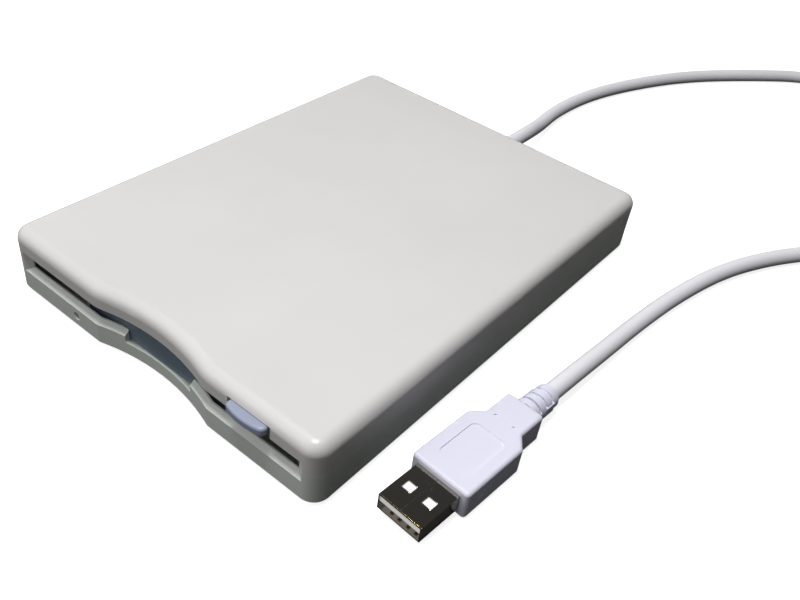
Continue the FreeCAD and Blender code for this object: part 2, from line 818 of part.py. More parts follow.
def eject_button():
    """Lavender push button: crowned D front, rolled rim, and a slot that grips the slider's tab."""
    body = new_body("button_body")
    sketch = new_sketch(body, "button_outline", "XY_Plane", button_under)
    crest = front - s.button_proud
    sketch_crowned(sketch, (button_left, button_right), (crest, crest + s.button_length), s.button_crown)
    raised = pad(body, sketch, s.button_thickness)
    shoulder = float(crest + s.button_crown)
    corners = [(float(button_left), shoulder), (float(button_right), shoulder)]
    rounded = round_edges(body, raised, s.button_crown * 1.5, upright_at(corners))
    levels = (float(button_under), float(button_top))

    def rim(edge):
        flat = any(at_height(level)(edge) for level in levels)
        return flat and edge.BoundBox.YMax < float(crest + s.button_length) - 0.1
    round_edges(body, rounded, s.button_rim, rim)
    tab = s.slider_tab_width / 2 + s.fit_gap
    grip = crest + s.button_length - s.slider_tab_grip
    slot = block("button_slot", (s.button_centre - tab, s.button_centre + tab),
                 (grip - 0.1, crest + s.button_length + 1), (slider_under - s.fit_gap, slider_top + s.fit_gap))
    return node("eject_button", cut("eject_button_cut", body, [slot]))


def dust_flap():
    """Blue-grey flap hung from two short pins behind the slot."""
    body = new_body("flap_body")
    sketch = new_sketch(body, "flap_outline", "XY_Plane", case_base + s.flap_bottom)
    sketch_rectangle(sketch, (-s.flap_left, s.flap_right), (flap_face, flap_back))
    plate = pad(body, sketch, s.flap_axis - s.flap_bottom + s.flap_thickness / 2)

    def long_edges(edge):
        box = edge.BoundBox
        return box.XLength > 20 and abs(box.ZMin - float(flap_axis_z + s.flap_thickness / 2)) < 1e-3
    round_edges(body, plate, s.flap_thickness / 2 - 0.02, long_edges)
    pins = rod("flap_pins", (-s.flap_left - s.flap_pin_length, flap_axis_y, flap_axis_z), s.flap_pin_radius,
               s.flap_left + s.flap_right + 2 * s.flap_pin_length, "X")
    rib = block("flap_rib", (-s.flap_left + 2, s.flap_right - 2), (flap_back - 0.1, flap_back + 0.4),
                (case_base + s.flap_bottom + 0.3, case_base + s.flap_bottom + 1.0))
    return node("dust_flap", joined("dust_flap_whole", [body, pins, rib]))


def indicator_led():
    """Small lamp whose dome looks out of the front hole."""
    x, z = -s.lamp_offset, case_base + s.lamp_height
    stem = rod("lamp_stem", (x, front + 1.5, z), s.lamp_radius, 3.3, "Y")
    base = rod("lamp_base", (x, front + 4.4, z), s.lamp_radius + 0.5, 1.4, "Y")
    return node("indicator_led", joined("indicator_led_whole", [stem, base]))


def frame_screw_places():
    """Where the four screws hold the drive frame down."""
    reach = s.unit_half_width - 6
    for x in (-reach, reach):
        for y in (s.unit_front + 6, s.holder_rear - 4):
            yield x, y


def drive_frame():
    """Pressed steel tray with upright sides that guide the holder's pins."""
    outer, inner = s.unit_half_width, frame_inside
    tray = block("frame_tray", (-outer, outer), (s.unit_front, s.unit_rear), (frame_base, frame_floor))
    wall_top = cover_under - s.cover_skirt
    added = [tray]
    for index, side in enumerate((-1, 1)):
        reach = (-outer, -inner) if side < 0 else (inner, outer)
        added.append(block("frame_side_%d" % index, reach, (s.unit_front, s.unit_rear), (frame_base, wall_top)))
    tools = []
    slot = s.holder_pin_radius + s.fit_gap * 2
    for index, y in enumerate((s.holder_pin_front, s.holder_pin_rear)):
        drop = pin_height - s.holder_drop
        tools.append(block("guide_slot_%d" % index, (-outer - 1, outer + 1), (y - slot, y + slot),
                           (drop, pin_height)))
        tools.append(rod("guide_slot_top_%d" % index, (-outer - 1, y, pin_height), slot, 2 * outer + 2, "X"))
        tools.append(rod("guide_slot_end_%d" % index, (-outer - 1, y, drop), slot, 2 * outer + 2, "X"))
    tools.append(rod("bearing_hole", (0, s.spindle_y, frame_base - 1), s.bearing_radius + s.fit_gap, 4))
    for index, (x, y) in enumerate(frame_screw_places()):
        tools.append(rod("frame_hole_%d" % index, (x, y, frame_base - 1), 1.1, 4))
    for index, side in enumerate((-1, 1)):
        tools.append(block("frame_window_%d" % index, (side * 30.0 - 7, side * 30.0 + 7), (s.spindle_y + 6, s.spindle_y + 28),
                           (frame_base - 1, frame_floor + 1)))
    tools.append(block("frame_front_relief", (-21.0, 21.0), (s.unit_front - 1, s.unit_front + 4),
                       (frame_base - 1, frame_floor + 1)))
    return node("drive_frame", cut("drive_frame_cut", joined("drive_frame_whole", added), tools))


def frame_screws():
    """Four pan-head screws through the tray into the bottom shell."""
    screws = []
    for index, (x, y) in enumerate(frame_screw_places()):
        head = rod("frame_screw_head_%d" % index, (x, y, frame_floor), 1.7, 0.7)
        shank = rod("frame_screw_shank_%d" % index, (x, y, case_base + 0.7), 0.9, frame_floor - case_base - 0.6)
        screws.append(joined("frame_screw_%d" % index, [head, shank]))
    group("frame_screws", screws)


def shield_cover():
    """Thin steel lid over the drive unit, with skirts that stand on the frame."""
    outer, inner = s.unit_half_width, frame_inside
    lid = block("cover_lid", (-outer, outer), (s.cover_front, s.unit_rear), (cover_under, cover_top))
    added = [lid]
    for index, reach in enumerate(((-outer, -inner), (inner, outer))):
        added.append(block("cover_skirt_%d" % index, reach, (s.cover_front, s.unit_rear),
                           (cover_under - s.cover_skirt, cover_under + 0.1)))
    tools = [block("cover_window", (-9.0, 9.0), (s.head_y - 9.5, s.head_y + 14.5), (cover_under - 1, cover_top + 1))]
    for index, x in enumerate((-30.0, 30.0)):
        tools.append(block("cover_slot_%d" % index, (x - 6, x + 6), (s.spindle_y - 10, s.spindle_y - 7), (cover_under - 1, cover_top + 1)))
    return node("shield_cover", cut("shield_cover_cut", joined("shield_cover_whole", added), tools))


def lever_point(angle):
    """Where the shutter lever's pin stands at an angle."""
    turn = math.radians(angle)
    reach = float(s.lever_length)
    return float(s.lever_x) + reach * math.cos(turn), float(s.lever_y) + reach * math.sin(turn)


def lever_slot(name, low, high):
    """The arc slot in the holder's roof that the lever's pin sweeps."""
    room = s.lever_pin_radius + 0.35
    centre = (s.lever_x, s.lever_y, low)
    ring = tube(name + "_ring", centre, s.lever_length + room, s.lever_length - room, high - low)
    start, swing = float(s.lever_start), float(s.lever_swing)
    wedge = Part.Wire(Part.makePolygon([Vector(float(s.lever_x), float(s.lever_y), float(low))] + [
        Vector(float(s.lever_x) + 60 * math.cos(math.radians(start - swing * part / 4)),
               float(s.lever_y) + 60 * math.sin(math.radians(start - swing * part / 4)), float(low))
        for part in range(5)] + [Vector(float(s.lever_x), float(s.lever_y), float(low))]))
    sector = doc.addObject("Part::Feature", name + "_sector")
    sector.Shape = Part.Face(wedge).extrude(Vector(0, 0, float(high - low)))
    pieces = [shared(name + "_arc", ring, sector)]
    for index, angle in enumerate((start, start - swing)):
        x, y = lever_point(angle)
        pieces.append(rod("%s_end_%d" % (name, index), (x, y, low), room, high - low))
    return joined(name, pieces)


def disk_holder():
    """Folded steel cassette that takes the disk, with four side pins that ride in the slots."""
    inner, outer = s.holder_half_inside, holder_outside
    y = (s.holder_front, s.holder_rear)
    under = holder_floor - s.holder_sheet
    added = [block("holder_top", (-outer, outer), y, (holder_roof, holder_skin))]
    added.append(block("holder_tail", (s.lever_x - 5.5, -s.head_window), (s.holder_rear - 0.5, s.holder_tail),
                       (holder_roof, holder_skin)))
    for index, side in enumerate((-1, 1)):
        wall = (-outer, -inner) if side < 0 else (inner, outer)
        ledge = (-outer, -inner + s.holder_flange) if side < 0 else (inner - s.holder_flange, outer)
        added.append(block("holder_wall_%d" % index, wall, y, (under, holder_skin)))
        added.append(block("holder_ledge_%d" % index, ledge, y, (under, holder_floor)))
        for place, along in enumerate((s.holder_pin_front, s.holder_pin_rear)):
            start = -s.unit_half_width + 0.2 if side < 0 else outer - 0.3
            added.append(rod("holder_pin_%d_%d" % (index, place), (start, along, pin_height),
                             s.holder_pin_radius, s.unit_half_width - 0.2 - outer + 0.3, "X"))
    window = block("holder_window", (-s.head_window, s.head_window), (s.head_window_front, s.holder_tail + 1),
                   (holder_roof - 1, holder_skin + 1))
    arc = lever_slot("lever_slot", holder_roof - 1, holder_skin + 1)
    return node("disk_holder", cut("disk_holder_cut", joined("disk_holder_whole", added), [window, arc]))


def slider_plate():
    """Sliding steel plate: ramp slots in its skirts lower the holder as it springs forward."""
    outer, inner = slider_outside, slider_inside
    added = [block("slider_top", (-outer, outer), (s.slider_front, s.slider_rear), (slider_under, slider_top))]
    for index, reach in enumerate(((-outer, -inner), (inner, outer))):
        added.append(block("slider_skirt_%d" % index, reach, (s.slider_front, s.slider_rear),
                           (slider_under - s.slider_skirt, slider_top)))
    tab = s.slider_tab_width / 2
    grip = front - s.button_proud + s.button_length - s.slider_tab_grip
    added.append(block("slider_tab", (s.button_centre - tab, s.button_centre + tab),
                       (grip, s.slider_front + 0.5), (slider_under, slider_top)))
    room = s.holder_pin_radius + s.fit_gap * 2
    tools = [block("slider_window", (-s.head_window - 1.5, s.head_window + 1.5), (s.head_window_front - 11, s.slider_rear + 1),
                   (slider_under - 1, slider_top + 1)),
             block("slider_rear_slot", (-41.6, -38.4), (s.slider_rear - 20, s.slider_rear - 6),
                   (slider_under - 1, slider_top + 1))]
    for index, x in enumerate((-26.0, 26.0)):
        tools.append(block("slider_opening_%d" % index, (x - 9, x + 9), (s.slider_front + 14, s.slider_front + 36),
                           (slider_under - 1, slider_top + 1)))
    angle = math.degrees(math.atan2(float(s.holder_drop), float(s.slider_travel)))
    run = math.hypot(float(s.holder_drop), float(s.slider_travel))
    for index, y in enumerate((s.holder_pin_front, s.holder_pin_rear)):
        start = (-outer - 1, y, pin_height)
        end = (-outer - 1, y + s.slider_travel, pin_height - s.holder_drop)
        tools.append(rod("ramp_high_%d" % index, start, room, 2 * outer + 2, "X"))
        tools.append(rod("ramp_low_%d" % index, end, room, 2 * outer + 2, "X"))
        ramp = doc.addObject("Part::Box", "ramp_%d" % index)
        ramp.Length = 2 * float(outer) + 2
        ramp.Width = run
        ramp.Height = 2 * float(room)
        bind(ramp, "Length", 2 * outer + 2)
        bind(ramp, "Height", 2 * room)
        corner = Rotation(Vector(1, 0, 0), -angle).multVec(Vector(0, 0, -float(room)))
        set_place(ramp, -outer - 1, y + corner.y, pin_height + corner.z, Rotation(Vector(1, 0, 0), -angle))
        tools.append(ramp)
    return node("slider_plate", cut("slider_plate_cut", joined("slider_plate_whole", added), tools))


def shutter_lever():
    """Wiper lever that pushes the disk's shutter aside; its pin hangs down into the bay."""
    low = holder_skin + s.fit_gap
    x1, y1 = lever_point(float(s.lever_start))
    arm = doc.addObject("Part::Box", "lever_arm")
    arm.Length = float(s.lever_length)
    arm.Width = 4.0
    arm.Height = float(s.lever_sheet)
    bind(arm, "Length", s.lever_length)
    bind(arm, "Height", s.lever_sheet)
    rotation = Rotation(Vector(0, 0, 1), float(s.lever_start))
    corner = rotation.multVec(Vector(0, -2.0, 0))
    set_place(arm, s.lever_x + corner.x, s.lever_y + corner.y, low, rotation)
    eye = rod("lever_eye", (s.lever_x, s.lever_y, low), 2.6, s.lever_sheet)
    tip = rod("lever_tip", (x1, y1, low), 2.0, s.lever_sheet)
    pin = rod("lever_pin", (x1, y1, holder_roof - 2.9), s.lever_pin_radius, low - holder_roof + 3.0)
    bore = rod("lever_bore", (s.lever_x, s.lever_y, low - 1), 1.0 + s.fit_gap, 3)
    return node("shutter_lever", cut("shutter_lever_cut", joined("shutter_lever_whole", [arm, eye, tip, pin]), [bore]))


def lever_pivot():
    """Rivet that the shutter lever turns on, standing on the holder's tail."""
    low = holder_skin
    stem = rod("pivot_stem", (s.lever_x, s.lever_y, low), 1.0, s.lever_sheet + 2 * s.fit_gap)
    head = rod("pivot_head", (s.lever_x, s.lever_y, low + s.lever_sheet + 2 * s.fit_gap), 1.6, 0.25)
    return node("lever_pivot", joined("lever_pivot_whole", [stem, head]))


def spindle_hub():
    """Turned rotor cup with the hub disc, centring spigot and shaft."""
    rim = s.rotor_radius
    wall = s.rotor_sheet
    top = s.rotor_height
    points = [
        (0, -2.2), (s.shaft_radius, -2.2), (s.shaft_radius, top - wall), (rim - wall, top - wall),
        (rim - wall, 0), (rim, 0), (rim, top), (s.hub_radius, top), (s.hub_radius, top + s.hub_height),
        (s.spigot_radius, top + s.hub_height), (s.spigot_radius, top + s.hub_height + s.spigot_height),
        (0, top + s.hub_height + s.spigot_height),
    ]
    body = revolved("spindle_turned", points, (0, s.spindle_y, rotor_top - s.rotor_height))
    pin = rod("hub_pin_hole", (s.drive_pin_offset, s.spindle_y, rotor_top - wall - 0.1),
              s.drive_pin_radius + s.fit_gap, s.hub_height + wall + 1)
    return node("spindle_hub", cut("spindle_hub_cut", body, [pin]))


def spindle_parts():
    """What sits in and round the rotor: magnet, drive pin, bearing, core, coils."""
    inside = s.rotor_radius - s.rotor_sheet - s.fit_gap
    low = rotor_top - s.rotor_height
    centre = (0, s.spindle_y, low + 0.05)
    node("rotor_magnet", tube("rotor_magnet_ring", centre, inside, inside - s.magnet_wall,
                              s.rotor_height - s.rotor_sheet - 0.1))
    node("drive_pin", rod("drive_pin_rod", (s.drive_pin_offset, s.spindle_y, rotor_top - s.rotor_sheet),
                          s.drive_pin_radius, s.hub_height + s.rotor_sheet + 0.8))
    bearing_low = base_inside + 0.1
    bore = s.shaft_radius + s.fit_gap
    bush = tube("bearing_bush", (0, s.spindle_y, bearing_low), s.bearing_radius, bore,
                low + s.rotor_height - s.rotor_sheet - bearing_low - 0.15)
    node("spindle_bearing", bush)
    core_low = frame_floor + s.board_sheet
    core = tube("core_ring", (0, s.spindle_y, core_low), 8.0, s.bearing_radius + s.fit_gap, 0.5)
    arms = [core]
    coils = []
    count = int(round(float(s.coil_count)))
    for index in range(count):
        turn = Rotation(Vector(0, 0, 1), 360.0 * index / count)
        arm = doc.addObject("Part::Box", "core_arm_%d" % index)
        arm.Length, arm.Width, arm.Height = 8.4, 1.0, 0.5
        corner = turn.multVec(Vector(7.4, -0.5, 0))
        set_place(arm, corner.x, s.spindle_y + corner.y, core_low, turn)
        arms.append(arm)
        coil = doc.addObject("Part::Box", "stator_coil_%d" % index)
        coil.Length, coil.Width, coil.Height = 5.2, 3.0, 0.85
        corner = turn.multVec(Vector(9.4, -1.5, 0))
        set_place(coil, corner.x, s.spindle_y + corner.y, core_low, turn)
        hole = doc.addObject("Part::Box", "stator_coil_hole_%d" % index)
        hole.Length, hole.Width, hole.Height = 7.2, 1.1, 0.55
        corner = turn.multVec(Vector(8.4, -0.55, 0))
        set_place(hole, corner.x, s.spindle_y + corner.y, core_low - 0.02, turn)
        coils.append(cut("stator_coil_cut_%d" % index, coil, [hole]))
    node("stator_core", joined("stator_core_whole", arms))
    group("stator_coils", coils)


def motor_board():
    """Circuit board on the tray under the spindle, with its driver chip and small parts."""
    low = frame_floor
    plate = block("motor_board_plate", (-27.0, 36.0), (s.spindle_y - 36, s.spindle_y + 25),
                  (low, low + s.board_sheet))
    hole = rod("motor_board_hole", (0, s.spindle_y, low - 1), s.bearing_radius + s.fit_gap, 3)
    node("motor_board", cut("motor_board_cut", plate, [hole]))
    chip_low = low + s.board_sheet
    node("motor_chip", block("motor_chip_case", (22.0, 31.0), (s.spindle_y + 6, s.spindle_y + 18),
                              (chip_low, chip_low + 0.9)))
    switches = []
    for index, x in enumerate((21.0, 27.0, 33.0)):
        base = block("switch_base_%d" % index, (x - 2.2, x + 2.2), (s.spindle_y - 35, s.spindle_y - 31), (chip_low, chip_low + 1.2))
        knob = block("switch_knob_%d" % index, (x - 0.7, x + 0.7), (s.spindle_y - 34, s.spindle_y - 32.5), (chip_low, chip_low + 1.5))
        switches.append(joined("sensor_switch_%d" % index, [base, knob]))
    group("sensor_switches", switches)


def head_carriage():
    """Moulded carriage on the rods: lower arm, bored boss, fork and the posts of the upper arm."""
    y0 = s.carriage_front
    y1 = y0 + s.carriage_length
    low = frame_floor + 0.8
    x = s.rod_offset
    added = [
        block("carriage_plate", (-9.5, 13.0), (y0, y1), (low, low + 2.6)),
        block("carriage_boss", (x - 3.2, x + 3.2), (y0, y1), (low - 0.3, rod_z + s.rod_radius + 1.2)),
        block("carriage_arm", (-5.5, 5.5), (s.head_y - 5.5, y0 + 1), (low, low + 1.0)),
        block("carriage_ear", (-x - 2.6, -9.0), (y0 + 2, y1 - 2), (low, rod_z + 2.4)),
    ]
    for index, side in enumerate((-1, 1)):
        reach = (-9.5, -7.1) if side < 0 else (7.1, 9.5)
        added.append(block("arm_post_%d" % index, reach, (s.arm_axis_y - 2.2, s.arm_axis_y + 2.2), (low + 1, arm_z + 1.4)))
    added.append(block("needle_arm", (-s.stepper_offset + 3.6, -x + 2.0), (y0, y0 + 2.2),
                       (rod_z + 1.5, rod_z + 2.4)))
    added.append(block("needle_root", (-x - 2.6, -9.0), (y0, y0 + 2.2), (rod_z + 1.5, rod_z + 2.4)))
    tools = [
        rod("carriage_bore", (x, y0 - 1, rod_z), s.rod_radius + s.fit_gap, s.carriage_length + 2, "Y"),
        block("carriage_fork", (-x - 3, -x + 1.7), (y0, y1 + 1), (rod_z - 1.3, rod_z + 1.3)),
        rod("arm_pin_bore", (-10.5, s.arm_axis_y, arm_z), 0.6 + s.fit_gap, 21, "X"),
    ]
    node("head_carriage", cut("head_carriage_cut", joined("head_carriage_whole", added), tools))
    needle = rod("needle_rod", (-s.stepper_offset + s.lead_screw_radius + 0.15, y0 + 1.1,
                                case_base + s.stepper_height), 0.35, 2.1, "X")
    holder = block("needle_block", (-s.stepper_offset + 3.2, -s.stepper_offset + 4.6), (y0, y0 + 2.2),
                   (rod_z + 2.4, case_base + s.stepper_height + 0.8))
    node("carriage_needle", joined("carriage_needle_whole", [needle, holder]))
    half = s.head_size / 2
    node("lower_head", block("lower_head_block", (-half, half), (s.head_y - half, s.head_y + half),
                             (low + 1.0, low + 2.6)))


def upper_arm():
    """Pressed arm over the disk: pivot barrel, tapering plate, gimbal and read head."""
    plate = block("arm_plate", (-4.5, 4.5), (s.head_y - 5, s.arm_axis_y), (arm_z, arm_z + s.arm_sheet))
    barrel = rod("arm_barrel", (-6.9, s.arm_axis_y, arm_z), 1.3, 13.8, "X")
    flanges = [block("arm_flange_%d" % index, (x, x + 0.6), (s.head_y + 5, s.arm_axis_y),
                     (arm_z, arm_z + 1.5)) for index, x in enumerate((-4.5, 3.9))]
    bore = rod("arm_bore", (-8, s.arm_axis_y, arm_z), 0.6 + s.fit_gap, 16, "X")
    node("upper_head_arm", cut("upper_head_arm_cut", joined("upper_arm_whole", [plate, barrel] + flanges), [bore]))
    node("arm_pivot_pin", rod("arm_pivot_rod", (-9.5, s.arm_axis_y, arm_z), 0.6, 19, "X"))
    half = s.head_size / 2
    node("upper_head", block("upper_head_block", (-half, half), (s.head_y - half, s.head_y + half),
                             (arm_z - 1.2, arm_z)))


def guide_rods():
    """Two polished rods and the clips that hold their ends on the tray."""
    x = s.rod_offset
    length = s.unit_rear - 0.2 - s.rod_front
    main = rod("main_rod", (x, s.rod_front, rod_z), s.rod_radius, length, "Y")
    second = rod("second_rod", (-x, s.rod_front, rod_z), 1.15, length, "Y")
    group("guide_rods", [main, second])
    clips = []
    for index, (place, radius) in enumerate(((x, s.rod_radius), (-x, Size.of(1.15)))):
        for end, y in enumerate((s.rod_front, s.unit_rear - 1.2)):
            clip = block("rod_clip_block_%d_%d" % (index, end), (place - 2.4, place + 2.4), (y, y + 1),
                         (frame_floor, rod_z + 1.9))
            hole = rod("rod_clip_hole_%d_%d" % (index, end), (place, y - 1, rod_z), radius + s.fit_gap, 3, "Y")
            clips.append(cut("rod_clip_%d_%d" % (index, end), clip, [hole]))
    group("rod_clips", clips)


def stepper():
    """Stepper can, its bracket and the lead screw that moves the heads."""
    x = -s.stepper_offset
    z = case_base + s.stepper_height
    y = s.stepper_front
    can = rod("stepper_can", (x, y, z), s.stepper_radius, s.stepper_length, "Y")
    boss = rod("stepper_boss", (x, y - 0.7, z), 2.4, 0.8, "Y")
    bore = rod("stepper_bore", (x, y - 1, z), s.lead_screw_radius + s.fit_gap, 3, "Y")
    node("stepper_motor", cut("stepper_motor_cut", joined("stepper_whole", [can, boss]), [bore]))
    sheet = s.bracket_sheet
    foot = block("bracket_foot", (x - 3.5, x + 3.5), (s.rod_front + 0.3, y), (frame_floor, frame_floor + sheet))
    far = block("bracket_far", (x - 3.5, x + 3.5), (s.rod_front + 0.3, s.rod_front + 0.3 + sheet),
                (frame_floor, z + 1.9))
    near = block("bracket_near", (x - 4.4, x + 4.4), (y - sheet, y), (frame_floor, z + 4.4))
    tools = [rod("bracket_bore", (x, s.rod_front - 1, z), s.lead_screw_radius + s.fit_gap, 3, "Y"),
             rod("bracket_seat", (x, y - 2, z), 2.4 + s.fit_gap, 4, "Y")]
    node("motor_bracket", cut("motor_bracket_cut", joined("bracket_whole", [foot, far, near]), tools))
    node("lead_screw", rod("lead_screw_rod", (x, s.rod_front + 0.4, z), s.lead_screw_radius, y + 1.5 - s.rod_front, "Y"))


def control_board():
    """Main board at the rear right, with its chips, capacitors and cord header."""
    low = frame_floor + 0.6
    top = low + s.board_sheet + 0.3
    plate = block("control_plate", (s.unit_half_width - 26, s.unit_half_width - 1.5), (s.unit_rear - 26.5, s.unit_rear - 1),
                  (low, top))
    right, back = s.unit_half_width, s.unit_rear
    places = [(right - x, back - y) for x in (23.5, 4.0) for y in (24.0, 3.5)]
    posts = [rod("control_post_%d" % index, (x, y, frame_floor), 1.4, 0.6)
             for index, (x, y) in enumerate(places)]
    node("control_board", joined("control_board_whole", [plate] + posts))
    chips = [block("chip_main", (right - 22, right - 13), (back - 21.5, back - 12.5), (top, top + 1.2)),
             block("chip_memory", (right - 9.5, right - 4), (back - 22.5, back - 14.5), (top, top + 1.0)),
             block("chip_crystal", (right - 9.5, right - 4.5), (back - 11.5, back - 9.5), (top, top + 1.4))]
    group("board_chips", chips)
    cans = [rod("can_%d" % index, (right - x, back - 6, top), 1.6, 3.4) for index, x in enumerate((10.5, 6.0))]
    group("board_capacitors", cans)
    node("cord_header", block("cord_header_block", (right - 23.5, right - 14.5), (back - 8.5, back - 4.5),
                              (top, top + 2.6)))


def strain_relief():
    """Moulded grommet clamped between the shells, tapering along the cord."""
    wall = s.side_wall
    neck = s.relief_radius - 0.6
    end = s.relief_length
    cord = s.cord_diameter / 2
    points = [
        (0, -wall - 1.2), (s.relief_radius + 0.6, -wall - 1.2), (s.relief_radius + 0.6, -wall - 0.05),
        (neck, -wall - 0.05), (neck, 0.05), (s.relief_radius, 0.05), (s.relief_radius, 1.4),
    ]
    rings = 4
    for ring in range(rings):
        start = 2.0 + ring * 2.4
        share = (start - 1.4) / (float(end) - 1.4)
        wide = s.relief_radius + (s.relief_neck - s.relief_radius) * share
        points += [(cord + 0.15, start - 0.55), (cord + 0.15, start), (wide, start), (wide, start + 1.6)]
    points += [(cord + 0.15, 11.4), (cord + 0.15, end), (0, end)]
    body = revolved("relief_turned", [(r, y) for r, y in points], (0, rear, exit_z), "Y")
    return node("strain_relief", body)


# Cord

def corner_path(points):
    """Straight runs joined by tangent arcs, as large as the two runs allow."""
    edges = []
    last = points[0]
    radii = []
    for before, here, after in zip(points, points[1:], points[2:]):
        one = (before - here)
        two = (after - here)
        shorter = min(one.Length, two.Length)
        one.normalize()
        two.normalize()
        turn = math.pi - one.getAngle(two)
        radius = 0.45 * shorter / math.tan(turn / 2)
        radii.append(radius)
        start = here + one * (0.45 * shorter)
        end = here + two * (0.45 * shorter)
        inward = one + two
        inward.normalize()
        middle = here + inward * (radius / math.cos(turn / 2) - radius)
        edges.append(Part.LineSegment(last, start).toShape())
        edges.append(Part.Arc(start, middle, end).toShape())
        last = end
    edges.append(Part.LineSegment(last, points[-1]).toShape())
    return Part.Wire(edges), radii


def swept_cord(label, path, points):
    """A round tube along a path, whose volume is compared with its section and length."""
    radius = float(s.cord_diameter) / 2
    heading = points[1] - points[0]
    profile = Part.Wire(Part.Circle(points[0], heading, radius).toShape())
    solid = path.makePipeShell([profile], True, False)
    expected = math.pi * radius ** 2 * path.Length
    print("%s: length %.1f, volume ratio %.5f" % (label, path.Length, solid.Volume / expected))
    piece = doc.addObject("Part::Feature", label + "_shape")
    piece.Shape = solid
    return node(label, piece)


def coil_height(share):
    """How far up the climb the cord is, eased at both ends."""
    return share * share * (3 - 2 * share)


def coil_point(turned):
    """The cord's centre after some degrees of the put-away coil, and its heading."""
    total = 720.0 + float(s.coil_start - s.coil_end)
    flat = (total - 180.0) / 2
    rate = float(s.coil_step) / 360.0
    floor = float(s.cord_diameter) / 2 + float(s.tie_thickness)

    def place(angle):
        if angle <= flat:
            inward, lift = angle, 0.0
        elif angle <= flat + 180.0:
            inward, lift = flat, coil_height((angle - flat) / 180.0)
        else:
            inward, lift = total - angle, 1.0
        reach = float(s.coil_radius) - rate * inward
        at = math.radians(float(s.coil_start) - angle)
        return Vector(float(s.coil_x) + reach * math.cos(at), float(s.coil_y) + reach * math.sin(at),
                      floor + float(s.coil_layer) * lift)

    step = 0.01
    low, high = max(0.0, turned - step), min(total, turned + step)
    heading = place(high) - place(low)
    heading.normalize()
    return place(turned), heading, total


def biarc(start, heading, end, arrival):
    """Two arcs that leave one point along a heading and reach another along its own."""
    gap = end - start
    mean = heading + arrival
    a = 2 * (1 - heading.dot(arrival))
    b = 2 * gap.dot(mean)
    c = -gap.dot(gap)
    reach = (-b + math.sqrt(b * b - 4 * a * c)) / (2 * a)
    join = (start + heading * reach + end - arrival * reach) * 0.5
    edges = []
    for near, tangent, far in ((start, heading, join), (end, arrival * -1.0, join)):
        chord = far - near
        normal = tangent.cross(chord)
        side = normal.cross(tangent)
        side.normalize()
        radius = chord.dot(chord) / (2 * chord.dot(side))
        centre = near + side * radius
        outward = (near + far) * 0.5 - centre
        outward.normalize()
        edges.append(Part.Arc(near, centre + outward * radius, far).toShape()
                     if near is start else Part.Arc(far, centre + outward * radius, near).toShape())
    return edges


def cable_coil():
    """The put-away length: two layers of turns that spiral in, climb and spiral out again."""
    total = coil_point(0.0)[2]
    count = int(math.ceil(total / 90.0))
    stops = [total * index / count for index in range(count + 1)]
    start, heading = coil_point(0.0)[:2]
    finish, arrival = coil_point(total)[:2]
    heading.z = 0.0
    arrival.z = 0.0
    lead = float(s.cord_diameter)
    edges = [Part.LineSegment(start - heading * lead, start).toShape()]
    for one, other in zip(stops, stops[1:]):
        a, ta = coil_point(one)[:2]
        b, tb = coil_point(other)[:2]
        edges += biarc(a, ta, b, tb)
    edges.append(Part.LineSegment(finish, finish + arrival * lead).toShape())
    path = Part.Wire(edges)
    swept_cord("cable_coil", path, [start - heading * lead, start])
    samples = []
    steps = 720
    for index in range(steps + 1):
        samples.append(coil_point(total * index / steps)[0])
    apart = int(steps * 200.0 / total)
    least = min((samples[i] - samples[j]).Length for i in range(0, steps, 3) for j in range(i + apart, steps, 2))
    print("coil: length %.1f, least gap to itself %.2f" % (path.Length, least - float(s.cord_diameter)))
    return start - heading * lead, heading, finish + arrival * lead, arrival, path.Length


def cable_tie():
    """Wire tie round the two layers of the coil."""
    along = 238.0
    lower = coil_point(along)[0]
    total = coil_point(0.0)[2]
    angle = float(s.coil_start) - along
    angles = math.radians(angle)
    out = Vector(math.cos(angles), math.sin(angles), 0)
    middle = Vector(float(s.coil_x), float(s.coil_y), 0)
    upper = coil_point(along + 360.0)[0]
    reaches = [(lower - middle).dot(out), (upper - middle).dot(out)]
    reach = sum(reaches) / 2
    radius = float(s.cord_diameter) / 2
    wall = float(s.tie_thickness)
    width = float(s.tie_width)
    gap = 0.1
    tall = float(s.coil_layer) + 2 * radius + 2 * gap
    side = radius + 3 * gap + abs(reaches[0] - reaches[1]) / 2
    outer = Part.makeBox(2 * (side + wall), width, tall + 2 * wall - gap, Vector(-side - wall, -width / 2, 0))
    inner = Part.makeBox(2 * side, width + 2, tall, Vector(-side, -width / 2 - 1, wall - gap))
    band = outer.makeFillet(0.5, [e for e in outer.Edges if e.BoundBox.YLength > width / 2])
    band = band.cut(inner)
    tie = doc.addObject("Part::Feature", "cable_tie_shape")
    tie.Shape = band
    tie.Placement = Placement(Vector(float(s.coil_x) + reach * math.cos(math.radians(angle)),
                                     float(s.coil_y) + reach * math.sin(math.radians(angle)), 0),
                              Rotation(Vector(0, 0, 1), angle))
    return node("cable_tie", tie)


def plug_frame():
    """The plug's own frame: origin at the middle of the overmould's front on the floor, Y to the cord."""
    return Placement(Vector(float(s.plug_x), float(s.plug_y), 0), Rotation(Vector(0, 0, 1), -float(s.plug_turn)))


def plug_axis_point(along, height):
    """A point on the plug's middle plane."""
    return plug_frame().multVec(Vector(0, along, height))


def in_plug(piece):
    """Set a piece that was made in the plug's own frame where the plug lies."""
    piece.Placement = plug_frame()
    bind(piece, "Placement.Base.x", s.plug_x)
    bind(piece, "Placement.Base.y", s.plug_y)
    return piece


